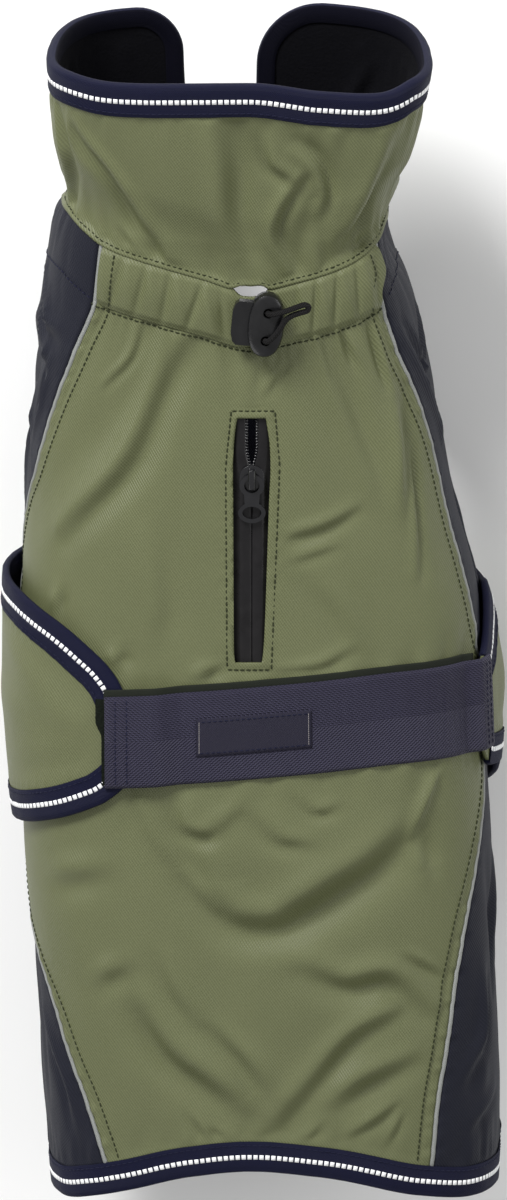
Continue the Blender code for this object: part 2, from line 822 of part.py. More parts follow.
def make_hem_binding():
    """One tape from the throat down the left side's edge, along the hem and up the right."""
    left, back, right = side_grid(-1), back_grid(), side_grid(1)
    station, angle = (
        np.concatenate([l[1:-1, 0], l[-1], b[-1], r[-1, ::-1], r[-2:0:-1, 0]])
        for l, b, r in zip(left, back, right)
    )
    binding("hem_binding", body_cloth, station, angle, 0.0, SHELL)


def make_belly_panel():
    """The bib under the chest, the band under the belly and the flap up each flank, in one."""
    turn = np.linspace(BELLY_PANEL[0][0], BELLY_PANEL[-1][0], BELLY_STEPS + 1)
    front, rear = BELLY["front"](turn), BELLY["rear"](turn)
    station = front + np.array(BELLY_ROW_SHARES)[:, None] * (rear - front)
    angle = np.broadcast_to(-turn, station.shape)
    cloth_wall("belly_panel", belly_cloth, station, angle, 0.0, SHELL, "shell_green")
    bound = (turn > BELLY_BOUND[0]) & (turn < BELLY_BOUND[1])
    front, rear, turn = front[bound], rear[bound], turn[bound]
    binding("belly_binding_front", belly_cloth, front, -turn, 0.0, SHELL)
    binding("belly_binding_rear", belly_cloth, rear[::-1], -turn[::-1], 0.0, SHELL)


def belt_lift(station, angle):
    """How far the belt stands off the room inside: over the belly panel's ends, and between."""
    over = belly_lift(station, angle) + SHELL + EASE + TAPE + GAP
    left_end, right_end = -BELLY_PANEL[0][0], 360.0 - BELLY_PANEL[-1][0]
    past = np.maximum(left_end + BELT_STEP - angle, angle - right_end + BELT_STEP)
    clear = SHELL + 2 * GAP
    return clear + (over - clear) * smooth_step(past / (BELT_STEP - 1))


def belt_cloth(station, angle, out=0.0):
    return plain_body(station, angle, belt_lift(station, angle) + out)


def make_belt():
    """The wide elastic over the back, on the ends of the belly panel."""
    angle = np.linspace(BELT[0][0], BELT[-1][0], 29)
    station = BELT_LINE["middle"](angle) + np.linspace(0.5, -0.5, 4)[:, None] * BELT_WIDTH
    cloth_wall("belt", belt_cloth, station, angle, 0.0, BELT_THICKNESS, "belt")


def make_hook_strip():
    """The hook strip on the belly panel's left end, which the belt's end holds on to."""
    angle = np.linspace(*HOOK_ANGLES, 4)
    station = np.linspace(*HOOK_STATIONS[::-1], 3)[:, None]
    low = SHELL + GAP
    cloth_wall("hook_strip", belly_cloth, station, angle, low, low + HOOK_THICKNESS, "hook")


def make_label():
    """The small woven patch on the belt."""
    half = LABEL_SIZE[0] / 2 / mm_per_degree(0.0, 0.0)
    angle = np.linspace(LABEL_ANGLE - half, LABEL_ANGLE + half, 9)
    station = BELT_LINE["middle"](angle) + np.linspace(0.5, -0.5, 3)[:, None] * LABEL_SIZE[1]
    low = BELT_THICKNESS + GAP
    cloth_wall("label", belt_cloth, station, angle, low, low + LABEL_THICKNESS, "label")


# ---- The zip ----



def zip_frame(station, out):
    """A frame on the back at the zip's line, X across and Y towards the collar."""
    here = plain_body(station, angle_at(ZIP_X, station), out)
    along = plain_body(station + 1, angle_at(ZIP_X, station), out) - here
    around = plain_body(station, angle_at(ZIP_X + 1, station), out) - here
    return local_frame(here, around, np.cross(around, along))


def angle_at(across, station):
    """The angle round the back at which a place lies that far across."""
    half = BODY["right"](station) if across >= 0 else BODY["left"](station)
    turn = 0.0
    for _ in range(20):
        turn += (across / half - across_share(turn)) * 0.8
    return math.degrees(turn)


def make_zip_tape(side, name):
    """One coated half of the zip. Above the slider it stands aside."""
    low, high = ZIP_STATIONS[0] - 8, ZIP_STATIONS[1] + 8
    stations = np.linspace(high, low, 14)
    base = -GAP - ZIP_TAPE_THICKNESS
    outer, inner = [], []
    for station in stations:
        opened = smooth_step((station - SLIDER_STATION) / 14.0) * ZIP_PARTING
        row = []
        for share in (0.0, 0.5, 1.0):
            x = ZIP_X + side * (0.15 + opened + share * (ZIP_TAPE_WIDTH - 0.15 - opened))
            row.append(angle_at(x, station))
        row = np.array(row)
        outer.append(plain_body(np.full(3, station), row, np.full(3, base + ZIP_TAPE_THICKNESS)))
        inner.append(plain_body(np.full(3, station), row, np.full(3, base)))
    return wall(name, np.array(outer), np.array(inner), "zip_tape")


def block(low, high, bevel=0.0):
    """A bmesh box between two corners, in millimetres."""
    made = bmesh.new()
    bmesh.ops.create_cube(made, size=1.0)
    for v in made.verts:
        for axis in range(3):
            v.co[axis] = (low[axis] if v.co[axis] < 0 else high[axis]) * MM
    if bevel:
        bmesh.ops.bevel(made, geom=made.edges, offset=bevel * MM, segments=1, affect="EDGES")
    return made


def prism(outline, low, high):
    """A bmesh prism with a given outline, between two heights, in millimetres."""
    made = bmesh.new()
    face = made.faces.new([made.verts.new((x * MM, y * MM, low * MM)) for x, y in outline])
    top = bmesh.ops.extrude_face_region(made, geom=[face])
    moved = [v for v in top["geom"] if isinstance(v, bmesh.types.BMVert)]
    bmesh.ops.translate(made, vec=(0, 0, (high - low) * MM), verts=moved)
    bmesh.ops.recalc_face_normals(made, faces=made.faces)
    return made


def oval(half_x, half_y, count, middle=(0.0, 0.0), squareness=1.0):
    """Points round an oval; under 1, squareness makes it boxier."""
    turns = np.linspace(0, 2 * math.pi, count, endpoint=False)

    def bent(value):
        return math.copysign(abs(value) ** squareness, value)

    return [
        (middle[0] + half_x * bent(math.cos(t)), middle[1] + half_y * bent(math.sin(t)))
        for t in turns
    ]


def object_from(name, shape, finish, frame):
    """Turns a bmesh into a named object that stands in a frame."""
    mesh = bpy.data.meshes.new(name)
    shape.to_mesh(mesh)
    shape.free()
    mesh.shade_smooth()
    mesh.set_sharp_from_angle(angle=math.radians(30))
    mesh.materials.append(material(finish))
    made = bpy.data.objects.new(name, mesh)
    made.matrix_world = frame
    bpy.context.scene.collection.objects.link(made)
    return made


def cutter_from(name, shape, frame):
    cutter = object_from(name, shape, "plastic", frame)
    cutter.hide_render = True
    cutter.display_type = "WIRE"
    return cutter


def make_slider():
    """The zip's slider: a plate on the tapes, and a bridge that holds the pull tab."""
    frame = zip_frame(SLIDER_STATION, 0.0)
    wide, length, thick = SLIDER_SIZE
    outline = oval(wide / 2, length / 2, SLIDER_SIDES, squareness=0.8)
    slider = object_from("zip_slider", prism(outline, SLIDER_LIFT, thick), "zip_metal", frame)
    low, high = BRIDGE_FEET
    top = thick + TUNNEL_HEIGHT + BRIDGE_BEAM
    outer = block((-BRIDGE_WIDTH / 2, low, thick - 0.8), (BRIDGE_WIDTH / 2, high, top), bevel=0.5)
    bridge = cutter_from("slider_bridge", outer, frame)
    hole = block(
        (-BRIDGE_WIDTH, low + BRIDGE_FOOT, thick),
        (BRIDGE_WIDTH, high - BRIDGE_FOOT, thick + TUNNEL_HEIGHT),
    )
    tunnel = cutter_from("slider_tunnel", hole, frame)
    cut_with(bridge, tunnel)
    join_with(slider, bridge)
    return slider


def join_with(target, other):
    join = target.modifiers.new(other.name, "BOOLEAN")
    join.operation = "UNION"
    join.solver = "EXACT"
    join.object = other


def make_pull_tab():
    """The pull tab, a flat bone shape whose eye hangs on the slider's bridge."""
    frame = zip_frame(SLIDER_STATION, 0.0)
    pivot = Matrix.Translation((0, PIVOT_ALONG * MM, (SLIDER_SIZE[2] + TUNNEL_HEIGHT / 2) * MM))
    droop = Matrix.Rotation(math.radians(TAB_DROOP), 4, "X")
    frame = frame @ pivot @ droop
    eye_at, eye_x, eye_y, eye_hole_x, eye_hole_y = TAB_EYE
    ring_at, ring_x, ring_y, hole_x, hole_y = TAB_RING
    low, high = -TAB_THICKNESS / 2, TAB_THICKNESS / 2
    eye = oval(eye_x, eye_y, 20, (0, -eye_at))
    tab = object_from("pull_tab", prism(eye, low, high), "zip_metal", frame)
    neck = prism(
        [
            (-TAB_NECK - 0.4, -eye_at - 2.0),
            (-TAB_NECK, -ring_at + 3.0),
            (TAB_NECK, -ring_at + 3.0),
            (TAB_NECK + 0.4, -eye_at - 2.0),
        ],
        low,
        high,
    )
    join_with(tab, cutter_from("tab_neck", neck, frame))
    ring = prism(oval(ring_x, ring_y, 20, (0, -ring_at)), low, high)
    join_with(tab, cutter_from("tab_ring", ring, frame))
    for name, shape in (
        ("tab_eye_hole", oval(eye_hole_x, eye_hole_y, 16, (0, -eye_at))),
        ("tab_ring_hole", oval(hole_x, hole_y, 16, (0, -ring_at))),
    ):
        cut_with(tab, cutter_from(name, prism(shape, low - 1, high + 1), frame))
    return tab


# ---- The cord lock ----


def lock_frame():
    across, station = LOCK_PLACE
    here = plain_body(station, angle_at(across, station), CASING + 1.0)
    along = plain_body(station + 8, angle_at(across, station), CASING) - plain_body(
        station - 8, angle_at(across, station), CASING
    )
    turn = Matrix.Rotation(math.radians(LOCK_TURN), 4, "Z")
    return local_frame(here, (1, 0, 0.0), np.cross((1, 0, 0.0), along)) @ turn


def make_cord_lock():
    """The two-hole lock: an oval barrel, and the plunger that slides into its left flank."""
    frame = lock_frame()
    wide, tall, thick = LOCK_SIZE
    barrel = prism(oval(wide / 2, tall / 2, 24, squareness=0.86), 0, thick)
    flat_edges = [e for e in barrel.edges if abs(e.verts[0].co.z - e.verts[1].co.z) < 1e-6]
    bmesh.ops.bevel(barrel, geom=flat_edges, offset=2.0 * MM, segments=2, affect="EDGES", profile=0.5)
    lock = object_from("cord_lock", barrel, "plastic", frame)
    for n, (x, y) in enumerate(LOCK_HOLES):
        hole = prism(oval(LOCK_HOLE_RADIUS, LOCK_HOLE_RADIUS, 14, (x, y)), -2, thick + 2)
        cut_with(lock, cutter_from(f"lock_hole_{n}", hole, frame))
    length, height, depth = PLUNGER_SIZE
    middle = thick / 2
    inner_end = PLUNGER_OUT + length + PLUNGER_TRAVEL + GAP
    pocket = block(
        (-wide, -height / 2 - GAP, middle - depth / 2 - GAP),
        (inner_end, height / 2 + GAP, middle + depth / 2 + GAP),
    )
    cut_with(lock, cutter_from("lock_pocket", pocket, frame))
    outline = [
        (PLUNGER_OUT + length, -height / 2),
        (PLUNGER_OUT + length, height / 2),
        (PLUNGER_OUT + 2.4, height / 2),
        (PLUNGER_OUT + 0.9, height / 2 - 1.4),
        (PLUNGER_OUT, height / 4),
        (PLUNGER_OUT, -height / 4),
        (PLUNGER_OUT + 0.9, -height / 2 + 1.4),
        (PLUNGER_OUT + 2.4, -height / 2),
    ]
    slab = prism(outline, middle - depth / 2, middle + depth / 2)
    plunger = object_from("lock_plunger", slab, "plastic", frame)
    for n, (x, y) in enumerate(LOCK_HOLES):
        reach = LOCK_HOLE_RADIUS
        slot = block((x - reach - PLUNGER_TRAVEL, y - reach, -2), (x + reach, y + reach, thick + 2))
        cut_with(plunger, cutter_from(f"plunger_slot_{n}", slot, frame))
    return lock, plunger


def rounded_route(points, per_span=3):
    """A smooth curve's points through a route's own points."""
    p = np.array(points, float)
    padded = np.vstack([2 * p[0] - p[1], p, 2 * p[-1] - p[-2]])
    route = []
    for i in range(1, len(padded) - 2):
        for t in np.linspace(0, 1, per_span, endpoint=False):
            a, b, c, d = padded[i - 1 : i + 3]
            route.append(
                0.5
                * (
                    2 * b
                    + (c - a) * t
                    + (2 * a - 5 * b + 4 * c - d) * t**2
                    + (3 * b - a - 3 * c + d) * t**3
                )
            )
    return route + [p[-1]]


def make_drawcord():
    """The end of the drawcord: one loop, out of one hole of the lock and back into the other."""
    frame = lock_frame()
    thick = LOCK_SIZE[2]
    curve = bpy.data.curves.new("drawcord", "CURVE")
    curve.dimensions = "3D"
    curve.bevel_depth = CORD_RADIUS * MM
    curve.bevel_resolution = 2
    curve.use_fill_caps = True
    route = rounded_route(CORD_LOOP, per_span=2)
    spline = curve.splines.new("POLY")
    spline.points.add(len(route) - 1)
    for point, (x, y, z) in zip(spline.points, route):
        place = frame @ Vector((x * MM, y * MM, (z + thick) * MM))
        point.co = (*place, 1.0)
    curve.materials.append(material("cord"))
    made = bpy.data.objects.new("drawcord", curve)
    bpy.context.scene.collection.objects.link(made)
    return made


def clear_scene():
    for thing in list(bpy.data.objects):
        bpy.data.objects.remove(thing)


def main():
    clear_scene()
    make_back_panel()
    make_casing()
    make_side_panel(-1, "side_panel_left")
    make_side_panel(1, "side_panel_right")
    make_piping(-1, "piping_left")
    make_piping(1, "piping_right")
    make_collar()
    make_hem_binding()
    make_belly_panel()
    make_belt()
    make_hook_strip()
    make_label()
    make_zip_tape(-1, "zip_tape_left")
    make_zip_tape(1, "zip_tape_right")
    make_slider()
    make_pull_tab()
    make_cord_lock()
    make_drawcord()


main()
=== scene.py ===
import math

import bpy
import numpy as np
from mathutils import Matrix, Vector


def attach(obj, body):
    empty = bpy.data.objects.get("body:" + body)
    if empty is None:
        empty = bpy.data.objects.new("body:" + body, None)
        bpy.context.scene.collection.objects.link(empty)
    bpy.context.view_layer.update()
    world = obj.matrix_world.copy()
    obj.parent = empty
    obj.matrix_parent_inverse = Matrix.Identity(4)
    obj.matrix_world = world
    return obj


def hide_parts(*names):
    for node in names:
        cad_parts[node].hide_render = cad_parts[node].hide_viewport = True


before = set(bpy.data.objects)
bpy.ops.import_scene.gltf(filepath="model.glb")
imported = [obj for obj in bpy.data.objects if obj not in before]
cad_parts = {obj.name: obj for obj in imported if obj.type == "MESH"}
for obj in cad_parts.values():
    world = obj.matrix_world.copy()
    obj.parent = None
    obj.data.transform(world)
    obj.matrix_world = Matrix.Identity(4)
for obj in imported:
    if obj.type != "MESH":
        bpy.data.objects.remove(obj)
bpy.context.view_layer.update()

print("frame loaded")

mm = 0.001  # the jacket's own tables are in millimetres and degrees
chance = np.random.default_rng(11)

view = {  # in metres, with the lens in millimetres and the tilt in degrees
    "target": (0.0015, 0.062, 0.0), "distance": 2.4, "tilt": 10.0, "lens": 171.43,
    "lampTarget": (0, 0.05, 0),
    "floor": -0.1362, "floorSize": 9.0, "floorColour": (0.93, 0.93, 0.925), "sky": 0.42,
}


def aimedAt(thing, place, target):
    thing.location = place
    thing.rotation_euler = (Vector(target) - Vector(place)).to_track_quat("-Z", "Y").to_euler()


def addCamera():
    data = bpy.data.cameras.new("camera")
    data.lens, data.sensor_width = view["lens"], 36.0
    data.clip_start, data.clip_end = 0.1, 20.0
    camera = bpy.data.objects.new("camera", data)
    bpy.context.scene.collection.objects.link(camera)
    tilt = math.radians(view["tilt"])
    back = Vector((0.0, math.sin(tilt), math.cos(tilt)))
    camera.location = Vector(view["target"]) + back * view["distance"]
    camera.rotation_euler = (-tilt, 0.0, 0.0)
    bpy.context.scene.camera = camera


def addFloor():
    bpy.ops.mesh.primitive_plane_add(size=view["floorSize"], location=(0, 0, view["floor"]))
    floor = bpy.context.object
    floor.name = "floor"
    paper = bpy.data.materials.new("pale paper")
    paper.use_nodes = True
    shader = paper.node_tree.nodes["Principled BSDF"]
    shader.inputs["Base Color"].default_value = (*view["floorColour"], 1)
    shader.inputs["Roughness"].default_value = 0.9
    floor.data.materials.append(paper)


softboxes = (  # place, width, height, power
    ((-0.85, 1.75, 1.35), 0.8, 0.8, 62.0),
    ((1.7, 0.5, 1.3), 1.2, 1.2, 13.0),
    ((-1.2, -1.5, 1.3), 1.4, 0.9, 9.0),
)


def addLights():
    for number, (place, width, height, power) in enumerate(softboxes):
        data = bpy.data.lights.new(f"softbox{number}", "AREA")
        data.shape, data.size, data.size_y, data.energy = "RECTANGLE", width, height, power
        lamp = bpy.data.objects.new(f"softbox{number}", data)
        bpy.context.scene.collection.objects.link(lamp)
        aimedAt(lamp, place, view["lampTarget"])
    world = bpy.data.worlds.new("studio")
    world.use_nodes = True
    world.node_tree.nodes["Background"].inputs[0].default_value = (1, 1, 1, 1)
    world.node_tree.nodes["Background"].inputs[1].default_value = view["sky"]
    bpy.context.scene.world = world
    bpy.context.scene.view_settings.view_transform = "Standard"


addCamera()
addFloor()
addLights()
print("camera, floor and lights")

# The form is the solids' own. A station is a place along the back, with the collar at the high end, an
# angle goes round from the middle of the back, to the right, and a height is measured up the collar.
bodySections = (  # station, rise, tilt, half width left and right, depth above and below the flank
    (-215, -4.0, 0, 84.0, 106.5, 54, 44), (-160, -2.0, 0, 88.0, 107.5, 57, 50),
    (-110, -0.5, 0, 91.5, 106.0, 60, 56), (-50, 0.0, 0, 96.5, 103.0, 61, 62),
    (0, 0.0, 0, 97.5, 99.5, 61, 66), (50, 0.0, 2, 97.0, 97.0, 61, 68), (95, 0.5, 6, 94.5, 85.5, 60, 68),
    (135, 1.5, 11, 91.0, 77.0, 57, 66), (172, 3.0, 15, 87.0, 68.0, 53, 62),
    (215, 9.0, 17, 80.0, 58.0, 48, 57),
)
collarRings = (  # height, half width left and right, depth above and below the flank
    (0, 75.5, 55.5, 43, 55), (25, 75.5, 58.5, 41, 56), (60, 80.0, 68.5, 35, 62), (95, 82.0, 74.5, 31, 67),
)
collarTop = (  # angle, height of the collar's edge
    (-162, 86), (-120, 88), (-60, 90), (-35, 88.3), (0, 89.4), (19, 85.4), (40, 83.2), (60, 86.5),
    (120, 87), (177, 87.5),
)
neckSeam = (  # angle, how far the seam lies from the nape
    (-165, -8), (-125, 6), (-90, 20), (-65, 24.5), (-50, 20.5), (-41, 16.4), (-24, 10.6), (-11, 5.2),
    (0, 0), (15, 3.7), (35, 9.4), (54, 15.5), (66, 19), (90, 17), (125, 6), (165, -8),
)
seamTable = (  # station, angle of the left and the right back seam
    (-215, 33, 37.5), (-187, 37.5, 38.7), (-157, 44.5, 40.5), (-137, 51.5, 43.2), (-116, 59, 46.2),
    (-97, 71, 49.3), (-80, 84, 53), (-50, 92, 63), (-20, 93.5, 75), (5, 94, 80), (40, 92, 70.5),
    (64, 88, 66), (93, 76, 65.6), (106, 68.3, 65), (118, 63.3, 63.8), (141, 55, 58.6), (164, 47, 51.3),
    (187, 41, 48.5), (198, 41.2, 53), (215, 41.4, 51),
)
lowerEdge = (  # station, angle of the left and the right flank's edge
    (-215, 117, 117), (-150, 118, 118), (20, 118, 118), (45, 114, 116), (68, 107, 112), (90, 108, 113),
    (108, 121, 123), (124, 140, 140), (140, 155, 157), (155, 161, 165), (175, 163, 172),
    (215, 163.5, 177.5),
)
hemTable = (  # angle, station of the hem
    (-118, -150), (-108, -190), (-90, -203), (-60, -202.5), (-42, -198.6), (-30, -194.7), (-13, -187.8),
    (0, -185.4), (13, -188.2), (35, -197.8), (55, -201.3), (75, -201.5), (90, -199), (108, -182),
    (118, -144),
)
bellyTable = (  # turn, round to the left, front and rear edge, lift at the front, middle and rear
    (21, 14, -12, 3.4, 3.4, 3.4), (26, 19, -16, 3.4, 3.4, 3.4), (29, 28, -20.5, 3.4, 3.4, 3.4),
    (33, 35.5, -25, 3.4, 3.4, 3.4), (48, 51, -33, 5.0, 4.8, 3.5), (68, 60, -38, 7.0, 7.2, 3.9),
    (90, 62, -40, 7.5, 7.6, 4.2), (118, 63, -40, 5.6, 5.6, 5.0), (132, 74, -40, 5.0, 5.0, 5.0),
    (143, 98, -39, 5.0, 5.0, 5.0), (151, 124, -39, 5.0, 5.0, 5.0), (158, 137, -38, 5.0, 5.0, 5.0),
    (168, 141, -38, 5.0, 5.0, 5.0), (180, 142, -38, 5.0, 5.0, 5.0), (192, 141, -38, 5.0, 5.0, 5.0),
    (202, 137, -38, 5.0, 5.0, 5.0), (209, 124, -38, 5.0, 5.0, 5.0), (217, 96, -38, 5.0, 5.0, 5.0),
    (228, 68, -37, 5.0, 5.0, 5.0), (242, 55, -35, 5.0, 5.4, 5.0), (256, 53, -28, 4.4, 7.6, 5.6),
    (268, 55, -18, 3.9, 9.0, 6.0), (280, 45, -16.5, 3.9, 6.5, 5.4), (289, 33, -15, 3.9, 4.4, 4.0),
    (296, 27, -6, 3.9, 3.9, 3.9),
)
beltTable = (  # angle, station of the belt's middle
    (-31, 1.0), (-11, 3.4), (10, 7.1), (33, 10.9), (70, 12.4),
)
bodyFolds = (  # main folds: angle and station of both ends, half width, height
    (-19, 158, -62, 92, 11, -3.0), (-8, 150, -30, 60, 17, 1.6), (22, 152, 28, 100, 12, -2.2),
    (36, 146, 44, 70, 12, 1.5), (-22, -36, -2, -72, 10, -3.2), (-2, -72, 13, -73, 11, -3.6),
    (13, -73, 37, -42, 11, -3.4), (8, -48, 24, -36, 13, 2.2), (16, -98, 48, -108, 10, -2.4),
    (-28, -116, -14, -140, 12, -3.0), (22, -140, 32, -125, 9, -2.0), (-44, -62, -38, -130, 14, 1.6),
    (1, -100, 2, -150, 13, 2.0), (-104, -70, -98, -120, 12, -2.0), (96, -60, 88, -140, 12, -2.2),
    (-76, 160, -84, 120, 9, -2.0), (78, 158, 84, 110, 9, -2.0),
)
collarFolds = (  # the same on the collar, with heights for stations
    (0, 78, 4, 30, 8, -2.2), (12, 70, 22, 46, 8, -2.6), (22, 46, 19, 22, 7, -2.2),
    (-52, 72, -28, 30, 9, -2.4), (-20, 74, -16, 24, 12, 1.6), (34, 72, 36, 26, 11, 1.8),
    (62, 68, 54, 36, 9, -1.8),
)

cloth = {  # shared by the pieces; a degree round the form is taken as 1.7 mm where folds are laid out
    "shell": 1.6, "gap": 0.3, "seamGap": 0.6, "piping": 1.1, "nape": 194.5, "fullness": 0.06,
    "degree": 1.7, "foldMargin": 16.0, "bodyFolds": 0.6, "drape": 1.5,
}
bindingTape = {
    "thick": 0.7, "out": 12.5, "in": 6.5, "ease": 0.12, "paintedShadeSpan": (9, 16),  # the outline's inner edges, which get a darker copy of the tape as painted shade
    "stitchAt": 10.8, "dashAt": 5.6,
}
neckCasing = {"thick": 2.4, "width": 25.0, "puff": 1.4, "roll": 1.0, "rise": 0.5}
collarCut = {
    "lining": 1.1, "lean": 17.0, "rise": 32.0, "fronts": (-162.5, 177.0), "folds": 0.5, "drape": 1.6,
    "lap": 1.2, "proud": 0.9, "tapeFrom": 12,  # over the casing, and the row where the tape starts
    "corners": ((12.0, 18.0), (17.0, 26.0)),  # degrees and fall of the left and the right front's top
}
leashSlot = {"dip": 2.9, "middle": 0.8, "half": 5.4}
bellyCut = {"bound": (26.0, 291.0)}
beltBand = {"width": 39.3, "thick": 1.6, "step": 8.0}
zipPlace = {"x": 0.8, "ends": (37.0, 139.0), "halfAngle": 8.0}


def smoothStep(x):
    x = np.clip(x, 0.0, 1.0)
    return x * x * (3 - 2 * x)


def through(table, column):
    at, values = table[:, 0], table[:, column]
    steps = np.diff(values) / np.diff(at)
    before, after = steps[:-1], steps[1:]
    sameWay = before * after > 0
    total = np.where(sameWay, before + after, 1.0)
    slopes = np.concatenate([steps[:1], np.where(sameWay, 2 * before * after / total, 0.0), steps[-1:]])

    def line(x):
        x = np.clip(x, at[0], at[-1])
        i = np.clip(np.searchsorted(at, x) - 1, 0, len(at) - 2)
        span = at[i + 1] - at[i]
        t = (x - at[i]) / span
        mix = smoothStep(t)
        bend = t * (1 - t) * span * ((1 - t) * slopes[i] - t * slopes[i + 1])
        return (1 - mix) * values[i] + mix * values[i + 1] + bend

    return line


def linesOf(rows, columns):
    table = np.array(rows, float)
    return {name: through(table, i + 1) for i, name in enumerate(columns)}


body = linesOf(bodySections, ("rise", "tilt", "left", "right", "flank", "belly"))
ring = linesOf(collarRings, ("left", "right", "flank", "throat"))
topLine = linesOf(collarTop, ("height",))["height"]
neckLine = linesOf(neckSeam, ("rise",))["rise"]
seam = linesOf(seamTable, ("left", "right"))
edge = linesOf(lowerEdge, ("left", "right"))
hemStation = linesOf(hemTable, ("station",))["station"]
belly = linesOf(bellyTable, ("front", "rear", "frontLift", "middleLift", "rearLift"))
beltMiddle = linesOf(beltTable, ("middle",))["middle"]


def ringPoint(angle, left, right, upper, lower):
    turn, full = np.radians(angle), cloth["fullness"]
    across = (np.sin(turn) + full * np.sin(3 * turn)) / (1 - full)
    high = (np.cos(turn) - full * np.cos(3 * turn)) / (1 - full)
    drop = np.where(high >= 0, upper * (1 - high), upper - lower * high)
    return np.where(across >= 0, right, left) * across, drop


def placed(across, drop, topY, topZ, tilt):
    lean = np.radians(tilt)
    y, z = topY + drop * np.sin(lean), topZ - drop * np.cos(lean)
    return np.stack(np.broadcast_arrays(across, y, z), axis=-1)


def bodyShape(station, angle):
    across, drop = ringPoint(angle, *(body[k](station) for k in ("left", "right", "flank", "belly")))
    return placed(across, drop, station, body["rise"](station), body["tilt"](station))


def collarShape(height, angle):
    neck = bodyShape(cloth["nape"] + height, angle)
    across, drop = ringPoint(angle, *(ring[k](height) for k in ("left", "right", "flank", "throat")))
    lean = math.radians(collarCut["lean"])
    topY = cloth["nape"] + height * math.cos(lean)
    topZ = body["rise"](cloth["nape"]) + height * math.sin(lean)
    own = placed(across, drop, topY, topZ, collarCut["lean"])
    share = smoothStep((height - neckLine(angle)) / collarCut["rise"])[..., None]
    return neck + (own - neck) * share


def outward(shape, station, angle):
    step = 0.4
    along = shape(station + step, angle) - shape(station - step, angle)
    around = shape(station, angle + step) - shape(station, angle - step)
    normal = np.cross(around, along)
    return normal / np.linalg.norm(normal, axis=-1, keepdims=True)


def foldHeight(station, angle, folds):
    total = np.zeros(np.broadcast(station, angle).shape)
    for angle0, station0, angle1, station1, width, height in folds:
        runX, runY = (angle1 - angle0) * cloth["degree"], station1 - station0
        x, y = (angle - angle0) * cloth["degree"], station - station0
        along = np.clip((x * runX + y * runY) / (runX**2 + runY**2), 0.0, 1.0)
        off = np.hypot(x - along * runX, y - along * runY)
        total += height * np.sin(math.pi * (0.15 + 0.7 * along)) * np.exp(-((off / width) ** 2))
    return total


def neckStation(angle):
    return cloth["nape"] + neckLine(angle)


def casingStation(angle):
    return neckStation(angle) - neckCasing["width"]


def bodyReach(station, angle):
    # how far a place is from the nearest belt, zip, casing, hem or leg edge
    belt = np.abs(station - beltMiddle(angle)) - beltBand["width"] / 2
    zipSide = (np.abs(angle) - zipPlace["halfAngle"]) * cloth["degree"]
    zipEnd = np.maximum(zipPlace["ends"][0] - station, station - zipPlace["ends"][1])
    casing = casingStation(angle) - station
    hem = station - hemStation(angle) - bindingTape["out"]
    side = np.where(angle < 0, edge["left"](station), edge["right"](station))
    leg = (side - np.abs(angle)) * cloth["degree"] - bindingTape["out"]
    return belt, np.maximum(zipSide, zipEnd), casing, hem, leg


def radiating(middle, spread, count, reach, width, height, lean):
    # lines that start at a seam and run away from it: angle, how far, half width, height, lean
    at = np.linspace(middle - spread, middle + spread, count) + chance.normal(0, spread / count * 0.5, count)
    return [
        (a, reach * chance.uniform(0.45, 1.3), width * chance.uniform(0.7, 1.4),
         height * chance.uniform(0.4, 1.2) * chance.choice((-1.0, 1.0), p=(0.7, 0.3)),
         lean * (a - middle) / spread + chance.normal(0, 0.12))
        for a in at
    ]


# Wrinkles that the solids leave out: small gathers that run away from a seam, soft creases and long folds.
gathers = {
    "casing": radiating(2, 46, 30, 26, 1.7, 0.9, 0.35),
    "sidesTop": radiating(0, 118, 54, 30, 2.0, 0.8, 0.3),
    "hem": radiating(0, 112, 74, 15, 2.0, 0.75, -0.1),
    "collarBase": radiating(0, 150, 64, 20, 2.4, 0.9, 0.3),
    "collarTop": radiating(0, 150, 80, 12, 1.9, 0.6, 0.0),
    "beltFront": radiating(10, 60, 30, 11, 2.2, 0.8, 0.2),
    "beltRear": radiating(10, 60, 30, 15, 2.4, 0.9, 0.3),
}
creases = (  # on the flanks: angle and station of both ends, half width, height
    (-72, 150, -96, 126, 5, -1.6), (-90, 148, -112, 120, 6, -1.3), (-104, 100, -84, 60, 7, -1.4),
    (-92, -40, -86, -96, 7, -1.5), (-80, -100, -72, -160, 6, -1.3), (-98, -130, -88, -176, 6, 1.2),
    (-88, 20, -100, -20, 8, 1.2), (72, 150, 100, 120, 6, -1.5), (88, 110, 96, 60, 7, -1.3),
    (72, 40, 98, 10, 8, 1.3), (70, -60, 78, -120, 7, -1.5), (62, -100, 60, -160, 6, 1.2),
    (84, -100, 104, -150, 7, -1.4),
)
collarCreases = (  # the same, with heights for stations
    (-84, 66, -70, 30, 6, 1.1), (-60, 70, -58, 58, 4, 0.9), (74, 66, 66, 30, 6, 1.1),
    (-110, 60, -100, 20, 7, -1.3), (104, 60, 96, 20, 7, -1.3), (-130, 50, -124, 16, 6, 1.1),
    (134, 54, 128, 16, 6, 1.1),
)
